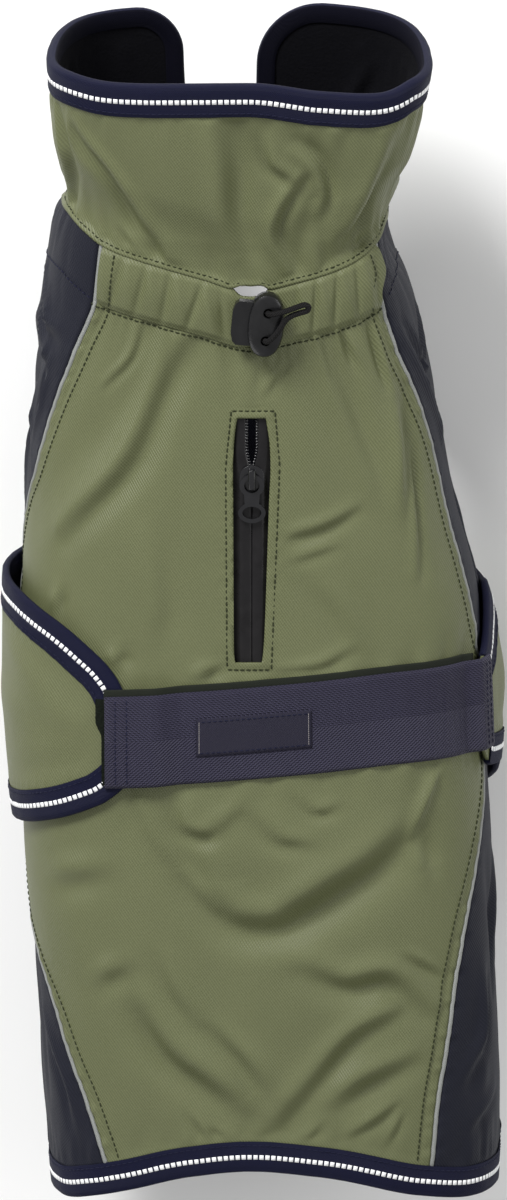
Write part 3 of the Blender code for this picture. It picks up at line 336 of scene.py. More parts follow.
# Long folds: kind, half width, height, and the line's angle and station at each point.
# A fall drops from its line's left to its right, and a ridge stands along it.
bodyBands = (
    ("fall", 4.6, 1.9, ((-47.2, 87.2), (-29.2, 115), (-20, 147.8), (-14, 173.8))),
    ("fall", 1.7, 0.7, ((-35.8, 150.2), (-28, 162.8), (-25.2, 178.8))),
    ("fall", 2.3, 1.0, ((6.5, 87.5), (16, 93), (25, 101))),
    ("fall", 1.8, 0.5, ((9, 78.5), (19.2, 85.2))),
    ("fall", 4.0, 0.8, ((13.2, 69.2), (17.5, 56.8), (21.2, 41.8))),
    ("fall", 4.0, 0.8, ((-18.5, 44.8), (-17.2, 62), (-20.2, 90.5))),
    ("fall", 2.6, 1.0, ((-48.5, 54.8), (-47, 63.2))),
    ("fall", 2.2, 1.3, ((-10.2, 26.2), (-8.8, 31.5), (-6.2, 35.8))),
    ("fall", 2.6, 1.2, ((-28.5, 32.2), (-27.5, 39))),
    ("fall", 2.2, 0.9, ((6.2, 32.2), (14, 33), (20.5, 39.5))),
    ("fall", 5.0, 1.2, ((31.8, 111.8), (26.2, 146), (22, 167.5))),
    ("fall", 5.5, 1.8, ((42.8, 102), (45.5, 122.2), (46.8, 142.8))),
    ("fall", 2.4, 1.1, ((41.5, 70.5), (47.5, 101), (50.5, 121))),
    ("fall", 1.8, 0.5, ((3.5, 150.2), (9, 162.8))),
    ("fall", 2.0, 0.9, ((29.2, 173), (33, 160))),
    ("fall", 2.2, 1.0, ((40.5, 173.5), (43, 149.8))),
    ("fall", 1.6, 0.7, ((22.5, 174.8), (25.2, 178))),
    ("ridge", 2.4, 1.7, ((-22.8, -22.8), (-19.2, -38.5), (-14, -54.5), (-7.8, -70))),
    ("fall", 6.0, 2.9, ((-9.8, -54.5), (-8.8, -64.5), (-2.8, -74.8), (5, -76.5), (10, -70.8), (16.8, -60.2),
                       (24.2, -50.8), (30.8, -41))),
    ("fall", 3.0, 1.4, ((-13.5, -25), (-12.8, -35.5), (-8.5, -39.8), (-5.2, -33.5))),
    ("ridge", 2.4, 1.0, ((-2.2, -23.8), (-5, -34), (-6.5, -46))),
    ("fall", 2.2, 0.9, ((9.5, -23.5), (12.5, -28.8), (16, -26.2))),
    ("fall", 3.0, 1.1, ((0.5, -31.2), (4.8, -41.2), (9.5, -42.8))),
    ("ridge", 2.4, 2.2, ((35.5, -38.2), (38.8, -25.5), (44.2, -12.2))),
    ("fall", 3.6, 1.2, ((39.2, -56), (37.2, -42))),
    ("fall", 4.6, 2.1, ((11.8, -97.5), (18.5, -104.5), (27.2, -103), (37.5, -116))),
    ("fall", 2.0, 0.8, ((31.8, -93), (41, -100.8))),
    ("fall", 5.5, 2.4, ((-24.5, -117.5), (-18, -133.5), (-9.5, -147.2), (-3.2, -158))),
    ("fall", 3.2, 1.4, ((-6.8, -123.5), (-1, -138.5), (3, -153))),
    ("fall", 3.6, 0.9, ((-19.5, -93.5), (-17, -106.2), (-12, -119.2))),
    ("fall", 3.6, 1.6, ((4.2, -171.2), (13, -141.8), (19.5, -127.2), (29.5, -118.2))),
    ("fall", 4.0, 1.8, ((16.8, -155), (22.2, -146.2), (32.5, -138.5))),
    ("fall", 2.0, 0.9, ((19.5, -169.5), (28.2, -157.2))),
    ("fall", 1.6, 0.6, ((26.8, -173.5), (30, -161.2))),
    ("fall", 1.6, 0.7, ((-13.5, -162.8), (-10.5, -172.5))),
    ("fall", 1.4, 0.6, ((-8.8, -168.2), (-6.2, -172.5))),
    ("fall", 1.6, 0.7, ((11, -174), (13.2, -166))),
    ("fall", 5.0, 1.0, ((-50.2, -61.8), (-33.8, -55.8))),
    ("fall", 4.0, 1.0, ((-36, -105.2), (-27.8, -98.2))),
    ("fall", 3.4, 1.3, ((-84, 186), (-70, 170), (-58, 168))),
    ("fall", 2.2, 0.7, ((-84, 176), (-76, 160), (-64, 152))),
    ("fall", 2.0, 1.0, ((-62, 158), (-66, 140), (-74, 122))),
    ("ridge", 1.8, 0.9, ((-70, 182), (-66, 168), (-68, 150))),
    ("fall", 2.2, 0.5, ((-88, 134), (-82, 126), (-74, 108))),
    ("fall", 2.0, 0.9, ((90, 168), (80, 150), (70, 146))),
    ("ridge", 1.8, 0.9, ((72, 164), (78, 140), (76, 118))),
    ("fall", 2.2, 0.9, ((100, 90), (92, 72), (90, 48))),
    ("fall", 3.0, 1.0, ((86, -60), (76, -84), (74, -116))),
    ("ridge", 2.4, 0.8, ((98, -80), (92, -110), (96, -140))),
    ("fall", 4.0, 1.0, ((-96, 150), (-84, 160), (-66, 156))),
    ("ridge", 3.0, 1.2, ((-74, 146), (-82, 120), (-84, 96))),
    ("fall", 4.0, 1.4, ((84, 110), (74, 140), (60, 168))),
    ("ridge", 2.6, 1.1, ((64, 172), (76, 150), (86, 128))),
    ("fall", 4.0, 1.3, ((52, -150), (62, -132), (64, -110))),
    ("fall", 3.0, 1.0, ((56, -172), (70, -160))),
    ("fall", 4.0, 1.2, ((-70, -128), (-56, -150), (-52, -168))),
)
collarBands = (
    ("fall", 4.6, 2.0, ((-1.8, 17.5), (-4.8, 34.8), (-5.2, 55.2), (-6.8, 74.2))),
    ("fall", 3.2, 1.6, ((-54, 67.8), (-42.2, 53), (-33, 35.8), (-24.5, 20.2), (-20, 8.8))),
    ("fall", 1.5, 0.6, ((-34.2, 23), (-28.5, 14.5))),
    ("fall", 2.4, 1.1, ((3.2, 65.2), (5.5, 55.2), (11.8, 48))),
    ("fall", 3.0, 1.5, ((23.8, 33.8), (24.5, 42), (19.5, 55.2), (12.8, 63))),
    ("fall", 3.0, 1.5, ((14, 9), (8.8, 24.2), (9.8, 35.5), (14.8, 48.2))),
    ("fall", 7.0, 2.0, ((28.8, 15.5), (40.2, 29), (48.2, 61.8))),
    ("fall", 3.0, 0.8, ((35.2, 9), (49.5, 22.8))),
    ("fall", 5.0, 1.5, ((-66, 18), (-62, 44), (-70, 70))),
    ("fall", 5.0, 1.6, ((100, 20), (108, 40), (104, 66))),
    ("fall", 4.0, 1.3, ((-118, 66), (-106, 44), (-102, 22))),
    ("fall", 4.0, 1.2, ((140, 18), (144, 40), (138, 62))),
)
neckNips = (  # angle, distance up from the neck seam, the widths of both, height
    (-92, 5, 30, 8, -6.0), (92, -14, 28, 16, -6.5), (90, 11, 26, 8, 3.0),
)
windowEdges = (  # station, left and right edge of the zip's window
    (35.5, -6.2, 5.0), (40, -6.7, 5.6), (50, -6.8, 6.2), (79, -6.9, 7.2), (104, -7.0, 8.0),
    (119, -7.1, 8.6), (128, -6.7, 8.3), (136, -5.9, 7.2), (139.5, -5.2, 6.6),
)
windowSide = linesOf(windowEdges, ("left", "right"))


def nipped(distance, angle):
    # the cloth draws in beside the neck seam, on both flanks
    total = np.zeros(np.broadcast(distance, angle).shape)
    for at, away, spread, reach, height in neckNips:
        total += height * np.exp(-(((angle - at) / spread) ** 2) - ((distance - away) / reach) ** 2)
    return total


def gathered(distance, angle, lines):
    # distance is from the seam, in mm
    total = np.zeros(np.broadcast(distance, angle).shape)
    for at, reach, width, height, lean in lines:
        off = (angle - at) * cloth["degree"] - lean * distance
        near = np.abs(off) < width * 4
        fade = np.where(distance > 0, np.exp(-((distance / reach) ** 2)), 0.0)
        grow = 1 + distance / reach
        total += near * height * fade * np.exp(-((off / (width * grow)) ** 2))
    return total


def roundedLine(points, perSpan):
    # a smooth line through points in any number of dimensions
    p = np.array(points, float)
    padded = np.vstack([2 * p[0] - p[1], p, 2 * p[-1] - p[-2]])
    route = []
    for i in range(1, len(padded) - 2):
        a, b, c, d = padded[i - 1:i + 3]
        for t in np.linspace(0, 1, perSpan, endpoint=False):
            route.append(0.5 * (2 * b + (c - a) * t + (2 * a - 5 * b + 4 * c - d) * t**2
                                + (3 * b - a - 3 * c + d) * t**3))
    return np.array(route + [p[-1]])


def besideLine(line, x, y):
    # from each place to the line: the distance with its side, how far past an end, and the share along it
    best, side = np.full(x.shape, 1e9), np.zeros(x.shape)
    past, share = np.zeros(x.shape), np.zeros(x.shape)
    last = len(line) - 2
    for i, (a, b) in enumerate(zip(line, line[1:])):
        run = b - a
        size = math.hypot(*run)
        t = ((x - a[0]) * run[0] + (y - a[1]) * run[1]) / size**2
        off = (run[0] * (y - a[1]) - run[1] * (x - a[0])) / size
        on = np.clip(t, 0.0, 1.0)
        away = np.hypot(x - a[0] - on * run[0], y - a[1] - on * run[1])
        beyond = np.where((t < 0) & (i == 0), -t, np.where((t > 1) & (i == last), t - 1, 0.0)) * size
        signed = np.where(beyond > 0, off, np.sign(off) * away)
        nearer = away < best
        best = np.where(nearer, away, best)
        side = np.where(nearer, signed, side)
        past = np.where(nearer, beyond, past)
        share = np.where(nearer, (i + on) / (last + 1), share)
    return side, past, share


def bandHeight(station, angle, bands):
    station, angle = np.broadcast_arrays(station, angle)
    total = np.zeros(station.shape)
    # every line wanders a little, so that none is quite straight
    across = angle * cloth["degree"] + 1.2 * np.sin(station / 15 + 0.7) * np.sin(angle / 7 + 0.4)
    up = station + 1.2 * np.sin(angle / 9 + 2) * np.sin(station / 21)
    for kind, width, height, points in bands:
        line = roundedLine(np.array(points) * (cloth["degree"], 1.0), 4)
        low, high = line.min(axis=0) - 4 * width, line.max(axis=0) + 4 * width
        near = (across > low[0]) & (across < high[0]) & (up > low[1]) & (up < high[1])
        if not near.any():
            continue
        side, past, share = besideLine(line, across[near], up[near])
        far = side / width
        shape = far * np.exp((1 - far**2) / 2) if kind == "fall" else np.exp(-np.abs(far) ** 1.6)
        ends = np.sin(math.pi * (0.13 + 0.74 * share)) * np.exp(-((past / width) ** 2) / 2)
        total[near] += height * shape * ends
    return total


def seamPuckers(station, angle, fromSeam, seamAt):
    # the back is drawn into both seams by small uneven puckers, and sinks under the stitches beside them
    side = np.where(angle < 0, -1.0, 1.0)
    pucker = np.sin(station * 0.62 + side * 2) * np.sin(station * 0.213 + 1.3) + 0.4 * np.sin(station * 1.31)
    inset = np.exp(-((fromSeam - 3.2) ** 2) / 5.0)
    line = -0.5 * np.exp(-((fromSeam - sewing["seamInset"]) ** 2) / 0.9)
    return 0.5 * pucker * inset + line * (np.abs(angle) < seamAt)


def windowWelt(station, angle):
    # a raised lip round the zip's window, then a groove where it is stitched down
    x = bodyShape(station, angle)[..., 0]
    lip = np.maximum.reduce([x - windowSide["right"](station), windowSide["left"](station) - x,
                             windowEdges[0][0] - station, station - windowEdges[-1][0]])
    welt = 0.75 * np.exp(-((lip - 1.2) ** 2) / 1.5) - 0.45 * np.exp(-((lip - 3.4) ** 2) / 0.6)
    welt = welt + 0.12 * np.sin(station * 0.9) * np.exp(-((lip - 2.2) ** 2) / 2.0)
    return np.where(np.abs(angle) < 30, welt, 0.0)


def bodyFine(station, angle):
    belt, zipEdge, casing, hem, leg = bodyReach(station, angle)
    nearest = np.minimum.reduce([belt, zipEdge, casing + 3, hem + 2, leg])
    seamAt = np.where(angle < 0, seam["left"](station), seam["right"](station))
    fromSeam = np.abs(np.abs(angle) - seamAt) * cloth["degree"]
    # long folds fade out at what holds the cloth flat, and weaken over both back seams
    free = np.minimum.reduce([(belt - 1.5) / 6, (zipEdge + 2) / 6, (casing + 1) / 5, hem / 5, (leg + 2) / 6])
    onCasing = np.minimum(-casing / 6, (neckCasing["width"] + casing) / 5)
    loose = smoothStep(np.where(casing < 0, onCasing, free)) * (0.25 + 0.75 * smoothStep(fromSeam / 7))
    soft = foldHeight(station, angle, creases) * smoothStep(nearest / 12.0)
    soft = soft + cloth["drape"] * bandHeight(station, angle, bodyBands) * loose
    onBack = np.abs(angle) < 58
    fine = gathered(casing, angle, gathers["casing"]) * onBack
    fine += gathered(casing + neckCasing["width"], angle, gathers["sidesTop"]) * ~onBack
    fine += gathered(hem, angle, gathers["hem"])
    front = station > beltMiddle(angle)
    fine += gathered(belt, angle, gathers["beltFront"]) * front
    fine += gathered(belt, angle, gathers["beltRear"]) * ~front
    fine *= smoothStep(np.minimum(zipEdge, leg) / 9.0) * smoothStep((hem + 1) / 5.0)
    fine += seamPuckers(station, angle, fromSeam, seamAt) * smoothStep(nearest / 6.0)
    return soft + fine + windowWelt(station, angle) + nipped(station - neckStation(angle), angle)


def bodyMainFolds(station, angle):
    nearest = np.minimum.reduce(bodyReach(station, angle))
    height = cloth["bodyFolds"] * foldHeight(station, angle, bodyFolds)
    return height * smoothStep(nearest / cloth["foldMargin"])


def collarReach(height, angle):
    return topLine(angle) - bindingTape["out"] - height, height - neckLine(angle)


def collarMainFolds(height, angle):
    top, base = collarReach(height, angle)
    fold = collarCut["folds"] * foldHeight(height, angle, collarFolds)
    return fold * smoothStep(np.minimum(top + 6.0, base) / cloth["foldMargin"])


def collarFine(height, angle):
    top, base = collarReach(height, angle)
    fronts = np.minimum(angle - collarCut["fronts"][0], collarCut["fronts"][1] - angle)
    soft = foldHeight(height, angle, collarCreases) * smoothStep(np.minimum(top + 4, base + 2) / 12.0)
    long = collarCut["drape"] * bandHeight(height, angle, collarBands)
    soft = soft + long * smoothStep(np.minimum(top + 2, base) / 5.0)
    fine = gathered(base, angle, gathers["collarBase"]) * smoothStep(base / 3.0)
    fine += gathered(top, angle, gathers["collarTop"])
    fine += 0.3 * np.exp(-((base - 1.5) ** 2) / 3.0) * np.sin(angle * 2.1)
    fine = (soft + fine) * smoothStep((fronts - 8) / 10.0) * smoothStep((top + 1) / 4.0)
    return fine + nipped(base, angle)


def skin(shape, folds, fine):
    def points(station, angle, out=0.0):
        station, angle, out = (np.array(v, float) for v in np.broadcast_arrays(station, angle, out))
        height = folds(station, angle) + fine(station, angle) + out
        return shape(station, angle) + outward(shape, station, angle) * height[..., None]

    return points


def nothing(station, angle):
    return np.zeros(np.broadcast(station, angle).shape)


bodyCloth = skin(bodyShape, bodyMainFolds, bodyFine)
plainBody = skin(bodyShape, nothing, nothing)
collarCloth = skin(collarShape, collarMainFolds, collarFine)


def bellyLift(station, angle):
    turn = np.mod(-angle, 360.0)
    front, rear = belly["front"](turn), belly["rear"](turn)
    share = np.clip((front - station) / (front - rear), 0.0, 1.0)
    atFront = belly["frontLift"](turn) * (1 - share) * (1 - 2 * share)
    atMiddle = belly["middleLift"](turn) * 4 * share * (1 - share)
    return atFront + atMiddle + belly["rearLift"](turn) * share * (2 * share - 1)


bellyCreases = (  # turn and station of both ends, half width, height
    (34, 6, 60, 22, 7, 1.0), (36, -6, 66, -18, 6, -0.7), (44, 20, 74, 40, 6, 0.8),
    (58, 10, 92, 14, 9, 0.9), (96, 40, 108, -20, 8, 1.0), (120, 20, 116, -30, 8, -0.9),
    (140, 60, 150, 10, 9, 1.1), (160, 110, 166, 40, 9, 1.0), (176, 120, 178, 20, 10, -1.0),
    (190, 116, 188, 30, 9, 1.0), (212, 60, 206, 0, 9, 1.0), (236, 30, 240, -24, 8, -0.8),
    (262, 30, 276, 6, 7, 0.8), (270, 0, 286, -6, 6, -0.7), (150, -10, 210, -16, 8, 0.8),
    (100, -26, 140, -24, 5, 0.6),
)


def bellyCloth(station, angle, out=0.0):
    station, angle, out = (np.array(v, float) for v in np.broadcast_arrays(station, angle, out))
    turn = np.mod(-angle, 360.0)
    front, rear = belly["front"](turn), belly["rear"](turn)
    inside = np.minimum(front - station, station - rear) - bindingTape["out"]
    underBelt = np.minimum(turn - 34, 281 - turn) * cloth["degree"]
    fold = foldHeight(station, turn, bellyCreases) * smoothStep(inside / 9.0) * smoothStep(underBelt / 8.0)
    pucker = 0.22 * np.sin(turn * 2.3) * np.sin(turn * 0.71) * np.exp(-((inside - 1.5) / 3.0) ** 2)
    pucker = pucker * (inside > 0)
    return plainBody(station, angle, bellyLift(station, angle) + fold + pucker + out)


def mmPerDegree(station, angle):
    step = bodyShape(station, angle + 0.5) - bodyShape(station, angle - 0.5)
    return np.linalg.norm(step, axis=-1)


def seamAngle(side, station):
    return side * seam["left" if side < 0 else "right"](station)


def besideSeam(side, station, way):
    angle = seamAngle(side, station)
    return angle + way * side * (cloth["piping"] + 0.05) / mmPerDegree(station, angle)


def rowStation(angle, row):
    top = casingStation(angle) - cloth["seamGap"]
    return np.where(row < 0, top - row * neckCasing["width"], top + row * (hemStation(angle) - top))


def panelGrid(rows, columns, angleAt):
    # places on a panel whose columns follow angleAt; row -1 is the neck, 0 the casing, 1 the hem
    row = np.asarray(rows)[:, None]
    station = rowStation(0.0, row) + np.zeros((len(rows), columns))
    for _ in range(40):
        angle = angleAt(station)
        station = (station + rowStation(angle, row)) / 2
    return station, angle


def betweenSeams(columns):
    share = np.linspace(0.0, 1.0, columns)

    def angleAt(station):
        left, right = besideSeam(-1, station, -1), besideSeam(1, station, -1)
        return left + share * (right - left)

    return angleAt


def sideAngles(side, columns):
    share = np.linspace(0.0, 1.0, columns)

    def angleAt(station):
        low = side * edge["left" if side < 0 else "right"](station)
        return low + share * (besideSeam(side, station, 1) - low)

    return angleAt


def newMesh(name, points, faces, materials, slots=None, uv=None, smooth=True):
    mesh = bpy.data.meshes.new(name)
    mesh.from_pydata((np.asarray(points) * mm).tolist(), [], faces)
    for finish in materials:
        mesh.materials.append(finish)
    if slots is not None:
        mesh.polygons.foreach_set("material_index", slots)
    if uv is not None:
        layer = mesh.uv_layers.new(name="cut")
        corner = np.zeros(len(mesh.loops), int)
        mesh.loops.foreach_get("vertex_index", corner)
        layer.data.foreach_set("uv", np.asarray(uv, float)[corner].ravel())
    if smooth:
        mesh.shade_smooth()
    mesh.update()
    piece = bpy.data.objects.new(name, mesh)
    bpy.context.scene.collection.objects.link(piece)
    return piece


def onCloth(grid):
    # a flat map of a grid of points, one unit to 100 mm
    across = np.linalg.norm(np.diff(grid, axis=1), axis=2)
    u = np.concatenate([np.zeros((len(grid), 1)), np.cumsum(across, axis=1)], axis=1)
    u -= u[:, [grid.shape[1] // 2]]
    along = np.linalg.norm(np.diff(grid, axis=0), axis=2)
    v = np.concatenate([np.zeros((1, grid.shape[1])), np.cumsum(along, axis=0)], axis=0)
    return np.stack([u, v], axis=-1) * 0.01


def flatPlan(shape, station, angle):
    # a straight map of the cloth: the way round the plain form and along it
    route = [shape(station, angle * share) for share in np.linspace(0, 1, 25)]
    around = sum(np.linalg.norm(b - a, axis=-1) for a, b in zip(route, route[1:]))
    return np.stack([around * np.sign(angle), station + 0 * angle], axis=-1) * 0.01


def wall(name, outer, inner, outside, inside=None, plan=None):
    rows, columns = outer.shape[:2]
    behind = rows * columns
    a = (np.arange(rows - 1)[:, None] * columns + np.arange(columns - 1)).ravel()
    quads = np.stack([a, a + 1, a + columns + 1, a + columns], axis=1)
    ringCells = [(0, c) for c in range(columns)] + [(r, columns - 1) for r in range(1, rows)]
    ringCells += [(rows - 1, c) for c in range(columns - 2, -1, -1)]
    ringCells += [(r, 0) for r in range(rows - 2, 0, -1)]
    around = np.array([r * columns + c for r, c in ringCells])
    after = np.roll(around, -1)
    rim = np.stack([after, around, behind + around, behind + after], axis=1)
    normal = np.cross(outer[0, 1] - outer[0, 0], outer[1, 0] - outer[0, 0])
    flip = np.dot(normal, (outer - inner)[0, 0]) < 0
    back = quads[:, ::-1] + behind
    faces = np.concatenate([quads, back, rim])
    if flip:
        faces = faces[:, ::-1]
    plan = onCloth(outer) if plan is None else plan
    uv = np.concatenate([plan.reshape(-1, 2)] * 2)
    slots = np.concatenate([np.zeros(len(quads)), np.ones(len(back)), np.zeros(len(rim))]).astype(int)
    points = np.concatenate([outer.reshape(-1, 3), inner.reshape(-1, 3)])
    both = [outside, inside] if inside else [outside]
    return newMesh(name, points, faces.tolist(), both, slots if inside else None, uv)


def distances(points):
    # how far along a path each of its points is
    return np.concatenate([[0], np.cumsum(np.linalg.norm(np.diff(points, axis=0), axis=1))])


def swept(name, sections, finish, under=None, paintedShadeSpan=(0, 0)):
    # sections: count x size x 3, closed outlines, with a cap between the two halves of each end
    count, size = sections.shape[:2]
    near = np.arange(count - 1)[:, None] * size + np.arange(size)
    nextOne = np.arange(count - 1)[:, None] * size + (np.arange(size) + 1) % size
    sides = np.stack([near, nextOne, nextOne + size, near + size], axis=2).reshape(-1, 4)
    caps = []
    for i in range(size // 2 - 1):
        strip = np.array([i, i + 1, size - 2 - i, size - 1 - i])
        caps += [strip[::-1], strip + (count - 1) * size]
    faces = np.concatenate([sides, np.array(caps)])
    middle = sections[0].mean(axis=0)
    ahead = sections[1].mean(axis=0) - middle
    area = sum(np.cross(sections[0, i] - middle, sections[0, (i + 1) % size] - middle) for i in range(size))
    if np.dot(area, ahead) > 0:
        faces = faces[:, ::-1]
    along, across = distances(sections.mean(axis=1)), distances(sections[count // 2])
    uv = np.stack(np.meshgrid(along, across, indexing="ij"), axis=-1).reshape(-1, 2) * 0.01
    which = np.concatenate([np.tile(np.arange(size), count - 1), np.full(len(caps), -1)])
    # the faces in the span take the second material, a darker copy of the tape used as painted shade
    slots = ((which >= paintedShadeSpan[0]) & (which < paintedShadeSpan[1])).astype(int)
    both = [finish, under] if under else [finish]
    return newMesh(name, sections.reshape(-1, 3), faces.tolist(), both, slots if under else None, uv)


def evenly(values, spacing, points):
    # a path's values again, at even steps along its points
    length = distances(points)
    at = np.linspace(0, length[-1], max(4, int(length[-1] / spacing)) + 1)
    return [np.interp(at, length, v) for v in values]


def softened(values, reach):
    padded = np.concatenate([np.full(reach, values[0]), values, np.full(reach, values[-1])])
    return np.convolve(padded, np.ones(2 * reach + 1) / (2 * reach + 1), mode="valid")


class Path:
    # a line on a cloth, with the way into the cloth, on its left
    def __init__(self, surface, station, angle, spacing=1.3):
        self.surface = surface
        coarse = surface(station, angle, 0.0)
        self.station, self.angle = evenly([station, angle], spacing, coarse)
        around = surface(self.station, self.angle + 0.5) - surface(self.station, self.angle - 0.5)
        self.degree = np.linalg.norm(around, axis=-1)
        runStation = np.gradient(softened(self.station, 3))
        runAngle = np.gradient(softened(self.angle, 3)) * self.degree
        length = np.hypot(runStation, runAngle)
        self.intoStation = softened(runAngle / length, 4)
        self.intoAngle = softened(-runStation / length, 4) / self.degree

    def at(self, inward, out):
        station, angle = self.station + inward * self.intoStation, self.angle + inward * self.intoAngle
        return self.surface(station, angle, out)


def tapeProfile(low, high):
    # half round at the fold, with the tape's own thickness, thin at its woven edges
    tape, ease, outer, inner = (bindingTape[k] for k in ("thick", "ease", "out", "in"))
    top, under, middle = high + ease, low - ease, (high + low) / 2
    half = (top - under) / 2
    turns = np.radians((72, 40, 0, -40, -72))
    bow = half * 0.55 + tape
    fold = [(-ease - bow * math.cos(t), middle + (half + tape) * math.sin(t)) for t in turns]
    inFold = [(-ease - half * 0.5 * math.cos(t), middle + half * math.sin(t)) for t in turns[::-1][1:4]]
    overTop = [(outer, top + 0.32), (outer - 0.35, top + tape * 0.9), (outer - 2.0, top + tape * 0.72),
               (outer - 3.2, top + tape * 0.95), (outer / 2, top + tape), (2.6, top + tape)]
    below = [(2.6, under - tape), (inner - 0.4, under - tape * 0.9), (inner, under - 0.3)]
    back = [(inner, under), (2.6, under)]
    return overTop + fold + below + back + inFold + [(2.6, top), (outer / 2, top), (outer - 2.0, top)]


# under is the material for the tape's inner side, a darker copy of the tape that paints its shade
def tapeOver(name, path, low, high, finish, under=None):
    step = np.arange(len(path.station))
    wave = 0.10 * np.sin(step * 0.55) * np.sin(step * 0.17)
    rows = [path.at(inward, out + wave * (out > (low + high) / 2)) for inward, out in tapeProfile(low, high)]
    return swept(name, np.stack(rows, axis=1), finish, under, bindingTape["paintedShadeSpan"])


def strewn(name, middles, alongs, outs, shape, faces, finish):
    # one small shape, copied to each place, with x along and z out
    alongs = alongs / np.linalg.norm(alongs, axis=1, keepdims=True)
    outs = outs - alongs * np.sum(outs * alongs, axis=1, keepdims=True)
    outs = outs / np.linalg.norm(outs, axis=1, keepdims=True)
    beside = np.cross(outs, alongs)
    shape = np.asarray(shape)
    points = (middles[:, None] + shape[None, :, :1] * alongs[:, None] + shape[None, :, 1:2] * beside[:, None]
              + shape[None, :, 2:] * outs[:, None])
    starts = np.arange(len(middles))[:, None] * len(shape)
    copies = [tuple(int(k) for k in row) for face in faces for row in (starts + np.array(face))]
    uv = np.tile(shape[:, :2], (len(middles), 1)) * 0.01
    return newMesh(name, points.reshape(-1, 3), copies, [finish], None, uv)


def alongLine(points, outs, pitch):
    # places a pitch apart on a line, with the way along it and the way out at each
    length = distances(points)
    at = np.arange(pitch / 2, length[-1], pitch)

    def read(values, where):
        return np.stack([np.interp(where, length, values[:, k]) for k in range(3)], axis=1)

    return read(points, at), read(points, at + 0.4) - read(points, at - 0.4), read(outs, at)


def sewnOn(name, paths, finish, pitch, shape, faces):
    rows = [alongLine(points, outs, pitch) for points, outs in paths]
    middles, ways, ups = (np.concatenate([row[k] for row in rows]) for k in range(3))
    return strewn(name, middles, ways, ups, shape, faces, finish)


def lineOn(surface, station, angle, out):
    here = surface(station, angle, out)
    return here, surface(station, angle, out + 1.0) - here


def stitches(name, paths, finish, pitch=2.6, length=2.0, thick=0.27):
    # each stitch is a small rounded bead that dips in at both ends: share of its length, size, rise
    sides = 6
    rings = ((-0.5, 0.35, -0.55), (-0.36, 0.85, 0.1), (0, 1, 0.45), (0.36, 0.85, 0.1), (0.5, 0.35, -0.55))
    shape = [
        (length * x, thick * size * math.cos(t), thick * (size * math.sin(t) * 0.8 + rise))
        for x, size, rise in rings for t in np.arange(sides) * 2 * math.pi / sides
    ]
    faces = [
        (r + sides + i, r + sides + (i + 1) % sides, r + (i + 1) % sides, r + i)
        for r in range(0, (len(rings) - 1) * sides, sides) for i in range(sides)
    ]
    faces += [tuple(range(sides)), tuple((len(rings) - 1) * sides + i for i in range(sides))[::-1]]
    return sewnOn(name, paths, finish, pitch, shape, faces)


def dashes(name, paths, finish, pitch=2.54, long=1.95, wide=2.1):
    x, y = long / 2, wide / 2
    corners = ((-1, -1), (1, -1), (1, 1), (-1, 1))
    shape = [(sx * x, sy * y, -0.25) for sx, sy in corners]
    shape += [(sx * (x - 0.1), sy * (y - 0.1), 0.14) for sx, sy in corners]
    faces = [(0, 3, 2, 1), (4, 5, 6, 7), (0, 1, 5, 4), (1, 2, 6, 5), (2, 3, 7, 6), (3, 0, 4, 7)]
    return sewnOn(name, paths, finish, pitch, shape, faces)


def nodesOf(name, colour, roughness, shine):
    made = bpy.data.materials.new(name)
    made.use_nodes = True
    shader = made.node_tree.nodes["Principled BSDF"]
    shader.inputs["Base Color"].default_value = (*colour, 1)
    shader.inputs["Roughness"].default_value = roughness
    shader.inputs["Specular IOR Level"].default_value = shine
    return made, made.node_tree, shader


def maths(tree, operation, a, b=None):
    node = tree.nodes.new("ShaderNodeMath")
    node.operation = operation
    for socket, value in zip(node.inputs, (a, b)):
        if value is None:
            continue
        if isinstance(value, (int, float)):
            socket.default_value = value
        else:
            tree.links.new(value, socket)
    return node.outputs[0]


def plus(tree, a, b):
    return maths(tree, "ADD", a, b)


def times(tree, a, b):
    return maths(tree, "MULTIPLY", a, b)


def placeOn(tree, kind):
    return tree.nodes.new("ShaderNodeTexCoord").outputs[kind]


def noise(tree, place, scale, detail=2.0, roughness=0.5):
    node = tree.nodes.new("ShaderNodeTexNoise")
    node.inputs["Scale"].default_value = scale
    node.inputs["Detail"].default_value = detail
    node.inputs["Roughness"].default_value = roughness
    tree.links.new(place, node.inputs["Vector"])
    return node.outputs["Fac"]


def mixed(tree, share, colourA, colourB):
    node = tree.nodes.new("ShaderNodeMix")
    node.data_type = "RGBA"
    tree.links.new(share, node.inputs["Factor"])
    for socket, colour in ((node.inputs[6], colourA), (node.inputs[7], colourB)):
        if isinstance(colour, tuple):
            socket.default_value = (*colour, 1)
        else:
            tree.links.new(colour, socket)
    return node.outputs[2]


def bumped(tree, shader, height, depth):
    node = tree.nodes.new("ShaderNodeBump")
    node.inputs["Distance"].default_value = depth * mm
    node.inputs["Strength"].default_value = 1.0
    tree.links.new(height, node.inputs["Height"])
    tree.links.new(node.outputs[0], shader.inputs["Normal"])


def ribs(tree, value, pitch):
    # waves of a pitch in mm on the flat map, where 1 is 100 mm
    return maths(tree, "SINE", times(tree, value, 2 * math.pi * 100.0 / pitch))


weaves = {  # how steep the slanted ribs are, then the cross ribs' pitch and depth against theirs
    "stripes": (1.25, 0.5, 0.45), "herringbone": (1.3, 0.8, 0.35), "twill": (0.7, 1.1, 0.3),
    "stripeTurn": 0.196, "herringboneTurn": 0.06,  # where the slant turns round
}


